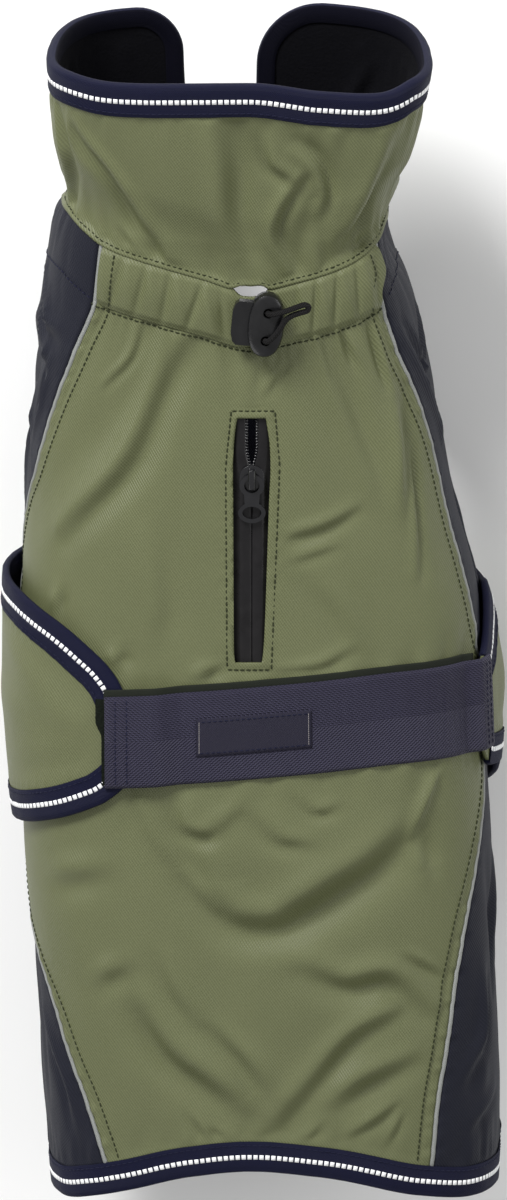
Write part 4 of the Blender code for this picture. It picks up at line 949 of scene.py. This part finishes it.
def weave(tree, place, kind, pitch):
    parts = tree.nodes.new("ShaderNodeSeparateXYZ")
    tree.links.new(place, parts.inputs[0])
    u, v = parts.outputs[0], parts.outputs[1]
    if kind == "plain":
        return times(tree, ribs(tree, u, pitch), ribs(tree, v, pitch))
    steep, finer, shallow = weaves[kind]
    turned = crossed = v
    if kind == "stripes":
        turned = maths(tree, "ABSOLUTE", maths(tree, "SUBTRACT", v, weaves["stripeTurn"]))
    elif kind == "herringbone":
        turned = maths(tree, "PINGPONG", v, weaves["herringboneTurn"])
    else:
        crossed = maths(tree, "SUBTRACT", u, v)
    slant = ribs(tree, plus(tree, u, times(tree, turned, steep)), pitch)
    return plus(tree, slant, times(tree, ribs(tree, crossed, pitch * finer), shallow))


def woven(name, light, dark, kind, pitch, roughness, shine, depth=0.09, grain=0.35):
    made, tree, shader = nodesOf(name, light, roughness, shine)
    place = placeOn(tree, "UV")
    threads = weave(tree, place, kind, pitch)
    fibre = noise(tree, place, 90.0, 3.0, 0.6)
    cloudy = noise(tree, placeOn(tree, "Object"), 26.0, 3.0, 0.55)
    share = times(tree, plus(tree, threads, 1.2), grain * 0.45)
    share = plus(tree, share, times(tree, cloudy, 0.35))
    share = plus(tree, share, times(tree, maths(tree, "SUBTRACT", fibre, 0.5), 0.5))
    share = maths(tree, "MINIMUM", maths(tree, "MAXIMUM", share, 0.0), 1.0)
    tree.links.new(mixed(tree, share, dark, light), shader.inputs["Base Color"])
    tree.links.new(plus(tree, times(tree, fibre, 0.16), roughness - 0.08), shader.inputs["Roughness"])
    bumped(tree, shader, plus(tree, threads, times(tree, fibre, 0.8)), depth)
    return made


def fleecy(name, light, dark, depth):
    made, tree, shader = nodesOf(name, light, 0.95, 0.1)
    tuft = noise(tree, placeOn(tree, "Object"), 900.0, 4.0, 0.7)
    tree.links.new(mixed(tree, tuft, dark, light), shader.inputs["Base Color"])
    bumped(tree, shader, tuft, depth)
    return made


def moulded(name, colour, roughness, shine, fine, depth, coat=0.0):
    made, tree, shader = nodesOf(name, colour, roughness, shine)
    place = placeOn(tree, "Object")
    speckle = noise(tree, place, fine, 2.0, 0.5)
    smudge = noise(tree, place, 160.0, 3.0, 0.6)
    tree.links.new(plus(tree, times(tree, smudge, 0.22), roughness - 0.11), shader.inputs["Roughness"])
    lighter = tuple(min(1.0, c * 1.8 + 0.004) for c in colour)
    tree.links.new(mixed(tree, smudge, colour, lighter), shader.inputs["Base Color"])
    if coat:
        shader.inputs["Coat Weight"].default_value = coat
        shader.inputs["Coat Roughness"].default_value = 0.12
    bumped(tree, shader, speckle, depth)
    return made


# woven: light, dark, weave, pitch, roughness, shine, bump depth, grain
# fleecy: light, dark, bump depth; moulded: colour, roughness, shine, speckles, bump depth, coat
finish = {
    "green": woven("olive twill", (0.158, 0.171, 0.081), (0.087, 0.097, 0.042), "twill", 1.25, 0.50, 0.36,
                   0.06, 0.5),
    "navy": woven("navy softshell", (0.014, 0.015, 0.027), (0.006, 0.007, 0.013), "twill", 1.3, 0.60, 0.2,
                  0.06),
    "inside": woven("dark inner lining", (0.012, 0.013, 0.024), (0.005, 0.005, 0.010), "plain", 1.0, 0.75,
                    0.2),
    "fleece": fleecy("black fleece", (0.006, 0.006, 0.008), (0.001, 0.001, 0.002), 0.6),
    # the tape's inner side: a darker copy of the navy tape below, painted shade
    "shadedTape": woven("tape back, darkened as painted shade", (0.004, 0.004, 0.012), (0.002, 0.002, 0.006), "herringbone",
                       0.9, 0.8, 0.1),
    "tape": woven("navy tape", (0.008, 0.009, 0.040), (0.004, 0.005, 0.018), "herringbone", 0.9, 0.66, 0.16),
    "belt": woven("navy herringbone", (0.046, 0.042, 0.078), (0.012, 0.011, 0.025), "stripes", 1.8, 0.62,
                  0.3, 0.3, 0.65),
    "beltEdge": woven("belt selvedge", (0.016, 0.020, 0.012), (0.006, 0.008, 0.005), "plain", 0.9, 0.8,
                      0.25),
    "greenThread": woven("dark green thread", (0.040, 0.048, 0.018), (0.020, 0.025, 0.008), "twill",
                         0.5, 0.7, 0.3),
    "navyThread": woven("navy thread", (0.010, 0.012, 0.050), (0.005, 0.006, 0.024), "twill", 0.5, 0.7, 0.3),
    "paleThread": woven("grey thread", (0.46, 0.43, 0.42), (0.28, 0.26, 0.26), "twill", 0.5, 0.7, 0.3),
    "dash": moulded("reflective dash", (0.80, 0.81, 0.82), 0.42, 0.5, 2200.0, 0.04),
    "piping": woven("reflective piping", (0.36, 0.37, 0.35), (0.20, 0.21, 0.20), "plain", 0.8, 0.42, 0.5),
    "patch": woven("woven patch", (0.015, 0.013, 0.034), (0.008, 0.007, 0.018), "plain", 0.7, 0.6, 0.3),
    "hook": fleecy("hook tape", (0.014, 0.018, 0.012), (0.003, 0.004, 0.003), 0.9),
    "zipTape": moulded("coated zip tape", (0.005, 0.0045, 0.005), 0.30, 0.32, 500.0, 0.02),
    "enamel": moulded("black enamel", (0.004, 0.004, 0.005), 0.16, 0.4, 900.0, 0.004, 0.5),
    "plastic": moulded("black plastic", (0.004, 0.004, 0.0045), 0.28, 0.45, 1800.0, 0.01),
    "cord": woven("black cord", (0.012, 0.010, 0.011), (0.003, 0.003, 0.003), "herringbone", 1.1, 0.8,
                  0.3, 0.3),
}
print("materials")


def dress(piece, slot, *nodes, body="root"):
    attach(piece, body)
    if nodes:
        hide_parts(*nodes)
    return piece


# The cord comes out of the lock's upper hole and goes back into the lower one.
lock = {"across": 6.5, "station": 181.0, "turn": -5.5, "height": 9.0, "lift": 1.0}
cordCut = {"diameter": 0.0024, "sides": 14, "swell": 0.02, "steps": 6}
cordLoop = (  # across, along and above the lock's face
    (0.5, 5.6, -8.6), (0.5, 5.6, -3.0), (0.5, 5.6, 0.4), (1.5, 5.9, 2.2), (4.0, 6.7, 3.0),
    (8.2, 8.4, 3.1), (12.4, 10.4, 2.9), (15.0, 11.4, 2.6), (16.7, 10.6, 2.3), (16.2, 8.9, 2.2),
    (13.4, 7.7, 2.2), (10.2, 6.2, 2.3), (7.8, 4.0, 2.4), (6.1, 0.6, 2.4), (4.0, -3.0, 2.4),
    (1.6, -5.6, 2.0), (0.5, -6.2, 0.4), (0.5, -6.2, -3.0), (0.5, -6.2, -8.6),
)


def angleAcross(across, station):
    half = body["right"](station) if across >= 0 else body["left"](station)
    full, turn = cloth["fullness"], 0.0
    for _ in range(20):
        turn += (across / half - (math.sin(turn) + full * math.sin(3 * turn)) / (1 - full)) * 0.8
    return math.degrees(turn)


def frameAt(origin, across, out):
    z = Vector(out).normalized()
    x = Vector(across)
    x = (x - z * x.dot(z)).normalized()
    made = Matrix.Identity(4)
    for column, axis in enumerate((x, z.cross(x), z)):
        for row in range(3):
            made[row][column] = axis[row]
    made.translation = Vector([float(c) * mm for c in origin])
    return made


def lockFrame():
    station, angle = lock["station"], angleAcross(lock["across"], lock["station"])
    casing = neckCasing["thick"]
    here = plainBody(station, angle, casing + lock["lift"])
    along = plainBody(station + 8, angle, casing) - plainBody(station - 8, angle, casing)
    turn = Matrix.Rotation(math.radians(lock["turn"]), 4, "Z")
    return frameAt(here, (1, 0, 0), np.cross((1, 0, 0.0), along)) @ turn


def tubeAlong(name, route, radius, sides, finishes, swell=0.0):
    ahead = np.gradient(route, axis=0)
    ahead /= np.linalg.norm(ahead, axis=1, keepdims=True)
    side = np.cross(ahead[0], (0.3, 0.2, 1.0))
    rings = []
    for i, way in enumerate(ahead):
        side = side - way * side.dot(way)
        side /= np.linalg.norm(side)
        up = np.cross(way, side)
        turns = np.arange(sides) * 2 * math.pi / sides
        size = radius * (1 + swell * math.sin(i * 2.1))
        rings.append(route[i] + size * (np.cos(turns)[:, None] * side + np.sin(turns)[:, None] * up))
    return swept(name, np.array(rings), finishes)


def addCord():
    place = lockFrame()
    route = roundedLine(cordLoop, cordCut["steps"])
    points = np.array([place @ Vector((x * mm, y * mm, (z + lock["height"]) * mm)) for x, y, z in route])
    radius = cordCut["diameter"] / 2 / mm
    cord = tubeAlong("cord_loop", points / mm, radius, cordCut["sides"], finish["cord"], cordCut["swell"])
    dress(cord, "cord", "drawcord")


addCord()

detail = {  # rows and columns of each piece's grid
    "back": (250, 124), "side": (210, 62), "casing": (50, 300), "collar": (88, 246), "lining": (56, 150),
    "belly": (54, 320), "belt": (30, 150), "label": (14, 40),
}


def panel(name, surface, station, angle, look, slot, node):
    # a wall of shell cloth on its form, with its weave laid straight
    outer = surface(station, angle, cloth["shell"])
    piece = wall(name, outer, surface(station, angle, 0.0), finish[look], finish["inside"],
                 flatPlan(bodyShape, station, angle))
    return dress(piece, slot, node), outer


def cutWindow(piece, reach=12.0):
    stations = np.linspace(windowEdges[0][0], windowEdges[-1][0], 60)
    left, right = windowSide["left"](stations), windowSide["right"](stations)
    outline = list(zip(right, stations)) + list(zip(left[::-1], stations[::-1]))
    count = len(outline)
    prism = [(x, y, z) for z in (-reach, reach) for x, y in outline]
    sides = [(i, (i + 1) % count, (i + 1) % count + count, i + count) for i in range(count)]
    ends = [tuple(range(count))[::-1], tuple(range(count, 2 * count))]
    window = newMesh("window", prism, sides + ends, [], smooth=False)
    cut = piece.modifiers.new("zipWindow", "BOOLEAN")
    cut.object, cut.solver, cut.operation = window, "EXACT", "DIFFERENCE"
    bpy.context.view_layer.objects.active = piece
    bpy.ops.object.modifier_apply(modifier="zipWindow")
    bpy.data.objects.remove(window)


def addBack():
    rows, columns = detail["back"]
    station, angle = panelGrid(np.linspace(-0.04, 1, rows), columns, betweenSeams(columns))
    piece, outer = panel("back_cloth", bodyCloth, station, angle, "green", "shell_green", "back_panel")
    cutWindow(piece)


casingGathers = (  # angle, lean, half width, height
    (-38, -0.25, 3.2, 0.7), (-34, 0.20, 2.2, -1.0), (-30, -0.10, 3.0, 0.8), (-26.5, 0.15, 1.8, -1.1),
    (-23, -0.20, 2.8, 0.9), (-19.5, 0.10, 1.7, -1.2), (-16, -0.15, 2.5, 1.0), (-12.5, 0.25, 1.6, -1.3),
    (-9, -0.20, 2.3, 1.0), (-6, -0.10, 1.4, -1.2), (13, 0.20, 1.6, -1.3), (16, -0.15, 2.2, 1.0),
    (19.5, 0.20, 1.7, -1.2), (23, -0.10, 2.6, 0.9), (27, 0.25, 2.0, -1.1), (31.5, -0.20, 3.0, 0.8),
    (36, 0.15, 2.2, -0.9), (41, -0.10, 3.2, 0.7), (46, 0.20, 2.2, -0.7),
)


def slotShare(angle):
    # 1 at the leash slot, where the casing and the collar part at the nape
    return smoothStep(1.9 * (1 - np.abs(angle - leashSlot["middle"]) / leashSlot["half"]))


def addCasing():
    rows, columns = detail["casing"]
    width = neckCasing["width"]
    across = np.linspace(-1.0, 0.0, rows)[:, None]
    station, angle = panelGrid(across[:, 0], columns, betweenSeams(columns))
    dip = leashSlot["dip"] * slotShare(angle)
    station = station + cloth["seamGap"] * (1 + across) * 0.5 + dip * across
    besideLock = smoothStep((np.abs(angle - 4.0) - 7.0) / 8.0)
    inside = -across * width
    # shallow rolls at both stitched edges, and gathers bunched between them
    edges = 1 - smoothStep(np.minimum(inside, width - inside) / 3.0)
    middle = 0.4 + 0.6 * np.sin(math.pi * np.clip((inside - 1) / 23, 0, 1))
    bunch = np.zeros(station.shape)
    for at, lean, half, height in casingGathers:
        off = (angle - at) * cloth["degree"] - lean * (inside - 12)
        bunch += height * np.exp(-((off / half) ** 2)) * middle
    puff = neckCasing["puff"] * np.sin(math.pi * np.clip(inside / width, 0, 1))
    lift = (puff + bunch * (1 - edges)) * (0.25 + 0.75 * besideLock) - neckCasing["roll"] * edges
    outer = plainBody(station, angle, neckCasing["thick"] + neckCasing["rise"] + lift)
    piece = wall("casing_cloth", outer, plainBody(station, angle, 0.0), finish["green"], finish["inside"],
                 flatPlan(bodyShape, station, angle))
    dress(piece, "shell_green", "neck_casing")


def addSide(side, name, node):
    rows, columns = detail["side"]
    besideNeck = 18
    rowsAt = np.concatenate([np.linspace(-1, 0, besideNeck), np.linspace(0, 1, rows - besideNeck + 1)[1:]])
    station, angle = panelGrid(rowsAt, columns, sideAngles(side, columns))
    piece, outer = panel(name, bodyCloth, station, angle, "navy", "shell_navy", node)
    return station[:, 0], angle[:, 0]


def addPiping(side, name, node):
    rows = np.linspace(-1, 1, 330)
    station, angle = (g[:, 0] for g in panelGrid(rows, 1, lambda s: seamAngle(side, s)))
    keep = station > hemStation(angle) + bindingTape["out"] - 1.6  # its end lies under the hem's tape
    station, angle = station[keep], angle[keep]
    sections = []
    for turn in np.linspace(0, 2 * math.pi, 12, endpoint=False):
        beside = cloth["piping"] * math.cos(turn) / mmPerDegree(station, angle)
        out = cloth["shell"] * 0.6 + cloth["piping"] * math.sin(turn)
        sections.append(bodyCloth(station, angle + beside, out))
    dress(swept(name, np.stack(sections, axis=1), finish["piping"]), "reflective", node)


def collarTopEdge(angle):
    height = topLine(angle)
    for front, side, (degrees, fall) in zip(collarCut["fronts"], (1, -1), collarCut["corners"]):
        short = 1 - np.clip((angle - front) * side / degrees, 0.0, 1.0)
        height = height - fall * (1 - np.sqrt(1 - short**2))
    return height


def collarPlaces(rows, columns, lap):
    left, right = collarCut["fronts"]
    leftCorner, rightCorner = (corner[0] for corner in collarCut["corners"])
    easing = 1 - np.cos(np.radians(np.linspace(0, 80, 12)))
    between = np.linspace(left + leftCorner, right - rightCorner, columns)
    angles = np.concatenate([left + leftCorner * easing, between, (right - rightCorner * easing)[::-1]])
    apart = slotShare(angles)
    base = neckLine(angles) - lap * (1 - apart) + 1.4 * apart
    height = base + np.linspace(0, 1, rows)[:, None] * (collarTopEdge(angles) - base)
    return height, np.broadcast_to(angles, height.shape)


def addCollar():
    height, angle = collarPlaces(*detail["collar"], collarCut["lap"])
    # the seam allowance stands a little proud over the casing
    proud = collarCut["proud"] * np.exp(-(((height - height[0]) / 1.6) ** 2))
    outer = collarCloth(height, angle, cloth["shell"] + proud)
    piece = wall("collar_cloth", outer, collarCloth(height, angle, 0.0), finish["green"], finish["inside"],
                 flatPlan(collarShape, height, angle))
    dress(piece, "shell_green", "collar")
    low = -cloth["gap"] - collarCut["lining"]
    rows = slice(collarCut["tapeFrom"], -1)
    route = [np.concatenate([g[rows, -1], g[-1, ::-1], g[rows, 0][::-1]]) for g in (height, angle)]
    path = Path(collarCloth, *route)
    # the tape's inner side takes the darker copy of its navy, painted shade
    tape = tapeOver("collar_tape", path, low, cloth["shell"], finish["tape"], finish["shadedTape"])
    dress(tape, "binding", "collar_binding")
    height, angle = collarPlaces(*detail["lining"], 0.0)
    outer = collarCloth(height, angle, -cloth["gap"])
    piece = wall("collar_fleece", outer, collarCloth(height, angle, low), finish["fleece"])
    dress(piece, "lining", "collar_lining")
    return path


def addHemTape(leftEdge, rightEdge):
    keep = [s < neckStation(a) - 1.5 for s, a in (leftEdge, rightEdge)]
    angle = np.linspace(leftEdge[1][-1], rightEdge[1][-1], 260)[1:-1]
    station = np.concatenate([leftEdge[0][keep[0]], hemStation(angle), rightEdge[0][keep[1]][::-1]])
    angles = np.concatenate([leftEdge[1][keep[0]], angle, rightEdge[1][keep[1]][::-1]])
    path = Path(bodyCloth, station, angles)
    dress(tapeOver("hem_tape", path, 0.0, cloth["shell"], finish["tape"]), "binding", "hem_binding")
    return path


def addBelly():
    rows, columns = detail["belly"]
    turn = np.linspace(bellyTable[0][0], bellyTable[-1][0], columns)
    front, rear = belly["front"](turn), belly["rear"](turn)
    station = front + np.linspace(0, 1, rows)[:, None] * (rear - front)
    angle = np.broadcast_to(-turn, station.shape)
    piece, outer = panel("belly_cloth", bellyCloth, station, angle, "green", "shell_green", "belly_panel")
    bound = (turn > bellyCut["bound"][0]) & (turn < bellyCut["bound"][1])
    front, rear, turn = front[bound], rear[bound], turn[bound]
    paths = Path(bellyCloth, front, -turn), Path(bellyCloth, rear[::-1], -turn[::-1])
    for end, path in zip(("front", "rear"), paths):
        tape = tapeOver(f"belly_tape_{end}", path, 0.0, cloth["shell"], finish["tape"])
        dress(tape, "binding", f"belly_binding_{end}")
    return paths


def beltLift(station, angle):
    over = bellyLift(station, angle) + cloth["shell"] + 0.5 + bindingTape["thick"] + cloth["gap"]
    leftEnd, rightEnd = -bellyTable[0][0], 360.0 - bellyTable[-1][0]
    past = np.maximum(leftEnd + beltBand["step"] - angle, angle - rightEnd + beltBand["step"])
    clear = cloth["shell"] + 2 * cloth["gap"]
    return clear + (over - clear) * smoothStep(past / (beltBand["step"] - 1))


def beltCloth(station, angle, out=0.0):
    station, angle, out = (np.array(v, float) for v in np.broadcast_arrays(station, angle, out))
    return plainBody(station, angle, beltLift(station, angle) + out)


def addBelt():
    rows, columns = detail["belt"]
    angle = np.linspace(beltTable[0][0], beltTable[-1][0], columns)
    share = np.linspace(0.5, -0.5, rows)[:, None]
    station = beltMiddle(angle) + share * beltBand["width"]
    edges = smoothStep((0.5 - np.abs(share)) * beltBand["width"] / 1.3)
    ends = smoothStep(np.minimum(np.arange(columns), np.arange(columns)[::-1]) / 1.5)
    ripple = 0.12 * np.sin(angle * 3.1 + share * 3) * np.sin(angle * 0.57)
    high = beltBand["thick"] * (0.55 + 0.45 * edges * ends) + ripple
    outer = beltCloth(station, angle, high)
    piece = wall("belt_band", outer, beltCloth(station, angle, 0.0), finish["belt"], finish["beltEdge"])
    dress(piece, "belt", "belt")


backing = {"before": 0.3, "end": 60.0, "edges": (2.9, -3.0), "top": 0.15, "under": -0.55}


def addBeltBacking():
    angle = np.linspace(beltTable[0][0] - backing["before"], backing["end"], 130)
    station = beltMiddle(angle) + beltBand["width"] / 2 + np.linspace(*backing["edges"], 8)[:, None]
    outer = beltCloth(station, angle, backing["top"] + 0 * station)
    inner = beltCloth(station, angle, backing["under"])
    dress(wall("belt_backing", outer, inner, finish["beltEdge"]), "belt")


hookTape = {
    "left": -33.6, "step": 1.6, "right": -29.8, "front": 19.5, "length": 37.0, "thick": 0.75, "tuft": 0.45,
}


def addHookStrip():
    share = np.linspace(0, 1, 60)[:, None]
    left = hookTape["left"] + hookTape["step"] * smoothStep((share - 0.25) / 0.2)
    angle = left + np.linspace(0, 1, 12) * (hookTape["right"] - left)
    station = hookTape["front"] - hookTape["length"] * share + 0 * angle
    low = cloth["shell"] + cloth["gap"] - 0.25
    high = low + hookTape["thick"] + chance.uniform(0.0, hookTape["tuft"], station.shape)
    outer, inner = bellyCloth(station, angle, high), bellyCloth(station, angle, low)
    dress(wall("hook_tape", outer, inner, finish["hook"]), "hook", "hook_strip")


patchCut = {"angle": 0.7, "length": 49.0, "width": 16.0, "thick": 0.6, "sunk": 0.1, "inset": 1.3}


def addLabel():
    rows, columns = detail["label"]
    middle, perDegree = patchCut["angle"], float(mmPerDegree(0.0, 0.0))
    half = patchCut["length"] / 2 / perDegree
    angle = np.linspace(middle - half, middle + half, columns)
    station = beltMiddle(angle) + np.linspace(0.5, -0.5, rows)[:, None] * patchCut["width"]
    low = beltBand["thick"] - patchCut["sunk"]
    outer = beltCloth(station, angle, low + patchCut["thick"] + 0 * station)
    dress(wall("patch", outer, beltCloth(station, angle, low), finish["patch"]), "label", "label")
    # grey lines of stitches at both ends, and dark ones along both long sides
    pale, dark = [], []
    w, h = half - patchCut["inset"] / perDegree, patchCut["width"] / 2 - patchCut["inset"]
    corners = ((-w, -h), (w, -h), (w, h), (-w, h), (-w, -h))
    share = np.linspace(0, 1, 60)
    for (a0, s0), (a1, s1) in zip(corners, corners[1:]):
        a = middle + a0 + (a1 - a0) * share
        line = lineOn(beltCloth, beltMiddle(a) + s0 + (s1 - s0) * share, a, low + patchCut["thick"] + 0.02)
        (pale if a0 == a1 else dark).append(line)
    dress(stitches("patch_side_lines", pale, finish["paleThread"], 0.9, 0.95, 0.14), "label")
    dress(stitches("patch_stitching", dark, finish["navyThread"], 2.4, 1.8, 0.24), "label")


# How far each line of stitches is from its seam or edge, and where the thread lies above the cloth.
sewing = {
    "seamInset": 6.3, "casingInset": 1.6, "collarUp": 0.7, "slotUp": 1.7,
    "thread": 0.1, "flat": 0.12, "overWelt": 0.3, "greenThick": 0.34,
    "beltEnds": (0.028, 0.055, 0.945, 0.972),  # shares of the belt's length
}
windowStitches = (  # from the zip's middle line, and from its lower or its upper end
    (-10.4, "low", -4.6), (8.2, "low", -4.6), (11.6, "high", -20), (9.6, "high", 3.6), (-8.6, "high", 3.6),
    (-10.9, "high", -20), (-10.4, "low", -4.6),
)


def besideBackSeam(side):
    # along a back seam: over the cloth up to the casing, then over the casing
    def angleAt(s):
        return seamAngle(side, s) - side * sewing["seamInset"] / mmPerDegree(s, seamAngle(side, s))

    station, angle = (g[:, 0] for g in panelGrid(np.linspace(-0.96, 0.965, 500), 1, angleAt))
    onCasing = station > casingStation(angle)
    under, over = (station[~onCasing], angle[~onCasing]), (station[onCasing], angle[onCasing])
    share = np.clip((over[0] - casingStation(over[1])) / neckCasing["width"], 0, 1)
    height = neckCasing["thick"] + 0.75 + 1.1 * np.sin(math.pi * share)
    return [lineOn(bodyCloth, *under, cloth["shell"] + sewing["thread"]), lineOn(plainBody, *over, height)]


def roundWindow():
    ends = dict(zip(("low", "high"), zipPlace["ends"]))
    box = [(x, ends[end] + away) for x, end, away in windowStitches]
    share, lines = np.linspace(0, 1, 90), []
    for (x0, s0), (x1, s1) in zip(box, box[1:]):
        station = s0 + (s1 - s0) * share
        angle = [angleAcross(zipPlace["x"] + x0 + (x1 - x0) * k, s) for k, s in zip(share, station)]
        lines.append(lineOn(bodyCloth, station, np.array(angle), cloth["shell"] + sewing["overWelt"]))
    return lines


def addGreenStitches():
    flat = cloth["shell"] + sewing["flat"]
    lines = besideBackSeam(-1) + besideBackSeam(1)
    angle = np.linspace(float(seamAngle(-1, 172.0)) + 1.5, float(seamAngle(1, 176.0)) - 1.5, 300)
    lines.append(lineOn(bodyCloth, casingStation(angle) - sewing["casingInset"], angle, flat))
    fronts = np.linspace(collarCut["fronts"][0] + 2, collarCut["fronts"][1] - 2, 700)
    up = sewing["collarUp"] + sewing["slotUp"] * slotShare(fronts)
    lines.append(lineOn(collarCloth, neckLine(fronts) + up, fronts, flat))
    lines += roundWindow()
    thread = stitches("green_stitching", lines, finish["greenThread"], thick=sewing["greenThick"])
    dress(thread, "shell_green")


def addNavyStitches(tapePaths):
    lines, inward = [], bindingTape["stitchAt"]
    for path in tapePaths:
        here = path.at(inward, cloth["shell"] + sewing["flat"] + bindingTape["thick"] * 0.78)
        lines.append((here, path.at(inward, cloth["shell"] + 2.0) - here))
    share = np.linspace(-0.46, 0.46, 60)
    for end in sewing["beltEnds"]:
        angle = beltTable[0][0] + end * (beltTable[-1][0] - beltTable[0][0]) + 0 * share
        station = beltMiddle(angle) + share * beltBand["width"]
        lines.append(lineOn(beltCloth, station, angle, beltBand["thick"] + 0.08))
    for side, least in ((-1, 42.0), (1, 54.0)):  # on the flanks, in line with the casing's lower edge
        angle = side * np.linspace(least, 118.0, 200)
        beyond = np.abs(angle) > np.abs(seamAngle(side, casingStation(angle))) + 1.6
        inside = np.abs(angle) < edge["left" if side < 0 else "right"](casingStation(angle)) - 9
        angle = angle[beyond & inside]
        lines.append(lineOn(bodyCloth, casingStation(angle), angle, cloth["shell"] + sewing["thread"]))
    dress(stitches("navy_stitching", lines, finish["navyThread"]), "binding")


def addStitching(tapePaths):
    addGreenStitches()
    addNavyStitches(tapePaths)
    over = cloth["shell"] + sewing["flat"] + bindingTape["thick"] + 0.02
    names = ("collar_dashes", "hem_dashes", "belly_dashes_front", "belly_dashes_rear")
    for name, path in zip(names, tapePaths):
        here = path.at(bindingTape["dashAt"], over)
        out = path.at(bindingTape["dashAt"], cloth["shell"] + 3.0) - here
        dress(dashes(name, [(here, out)], finish["dash"]), "reflective")


addBack()
addCasing()
leftEdge = addSide(-1, "side_left", "side_panel_left")
rightEdge = addSide(1, "side_right", "side_panel_right")
addPiping(-1, "piping_line_left", "piping_left")
addPiping(1, "piping_line_right", "piping_right")
print("body cloth")
collarPath = addCollar()
hemPath = addHemTape(leftEdge, rightEdge)
bellyPaths = addBelly()
print("collar, tapes and belly panel")
addBelt()
addBeltBacking()
addHookStrip()
addLabel()
addStitching((collarPath, hemPath, *bellyPaths))
print("belt, patch and stitching")

zipTape = {
    "from": 146.5, "to": 29.5, "partsAt": 113.0, "partsOver": 14.0, "parted": 2.6, "closed": 0.02,
    "thick": 0.5, "under": -1.0,
}
zipRidge = (  # from the middle, height
    (0.0, -0.25), (0.3, 0.1), (0.7, 0.28), (1.4, 0.42), (2.6, 0.62), (3.8, 0.66), (4.8, 0.35),
    (5.8, -0.2), (6.9, -0.6), (8.5, -0.7), (12.0, -0.7),
)
coils = {"from": 114.0, "to": 141.0, "in": 0.35, "pitch": 1.25, "long": 0.75, "wide": 1.5}


def parted(station):
    # how far the slider has let the tapes part
    share = smoothStep((station - zipTape["partsAt"]) / zipTape["partsOver"])
    return zipTape["closed"] + share * zipTape["parted"]


def zipSurface(x, station, out):
    places = zip(np.ravel(x), np.ravel(station))
    angle = np.array([angleAcross(float(a), float(s)) for a, s in places]).reshape(np.shape(x))
    return plainBody(station, angle, out)


def addZipTapes():
    stations = np.linspace(zipTape["from"], zipTape["to"], 120)[:, None]
    away, height = np.array(zipRidge).T
    fine = np.linspace(0, 1, 34) ** 1.3 * away[-1]
    rise = softened(np.interp(fine, away, height), 1)
    flat = smoothStep((stations - 112) / 10) * 0.4
    opened = parted(stations)
    for side, word in ((-1, "left"), (1, "right")):
        x = zipPlace["x"] + side * (opened + fine * (1 - 0.06 * (opened - zipTape["closed"])))
        ripple = 0.10 * np.sin(stations * 0.23 + side) * np.sin(stations * 0.071)
        out = rise * (1 - flat) + ripple * np.exp(-((fine - 3.5) / 2.5) ** 2)
        outer = zipSurface(x, stations + 0 * x, out)
        inner = zipSurface(x, stations + 0 * x, np.minimum(out - zipTape["thick"], zipTape["under"]))
        piece = wall(f"zip_cloth_{word}", outer, inner, finish["zipTape"])
        dress(piece, "zip_tape", f"zip_tape_{word}")


def addCoils():
    stations = np.linspace(coils["from"], coils["to"], 220)
    lines = []
    for side in (-1, 1):
        x = zipPlace["x"] + side * (parted(stations) - coils["in"])
        here = zipSurface(x, stations, -coils["in"] + 0 * x)
        lines.append((here, zipSurface(x, stations, 1 - coils["in"] + 0 * x) - here))
    coil = dashes("zip_coils", lines, finish["enamel"], coils["pitch"], coils["long"], coils["wide"])
    dress(coil, "zip_tape")


addZipTapes()
addCoils()
print("zip")

hardParts = (  # node, new name, body, slot, finish, rounding
    ("zip_slider", "slider_body", "root", "zip_metal", "enamel", 0.38),
    ("pull_tab", "tab_plate", "tab", "zip_metal", "enamel", 0.3),
    ("cord_lock", "lock_barrel", "root", "plastic", "plastic", 0.5),
)


def addRounded(node, name, rider, slot, look, rounding):
    # a merged copy of the solid, its sharp edges rounded so that they catch the light
    bpy.ops.object.select_all(action="DESELECT")
    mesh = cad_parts[node].data.copy()
    mesh.materials.clear()
    mesh.materials.append(finish[look])
    part = bpy.data.objects.new(name, mesh)
    bpy.context.scene.collection.objects.link(part)
    bpy.context.view_layer.objects.active = part
    part.select_set(True)
    bpy.ops.object.mode_set(mode="EDIT")
    bpy.ops.mesh.select_all(action="SELECT")
    bpy.ops.mesh.remove_doubles(threshold=0.00001)
    bpy.ops.mesh.dissolve_limited(angle_limit=math.radians(3))
    bpy.ops.object.mode_set(mode="OBJECT")
    edges = part.modifiers.new("edges", "BEVEL")
    edges.width, edges.segments, edges.limit_method = rounding * mm, 3, "ANGLE"
    edges.angle_limit = math.radians(38)
    bpy.ops.object.modifier_apply(modifier="edges")
    bpy.ops.object.shade_smooth_by_angle(angle=math.radians(35))
    print(name, len(mesh.polygons))
    dress(part, slot, node, body=rider)


for row in hardParts:
    addRounded(*row)
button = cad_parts["lock_plunger"].data
button.materials.clear()
button.materials.append(finish["plastic"])
print("hard parts")
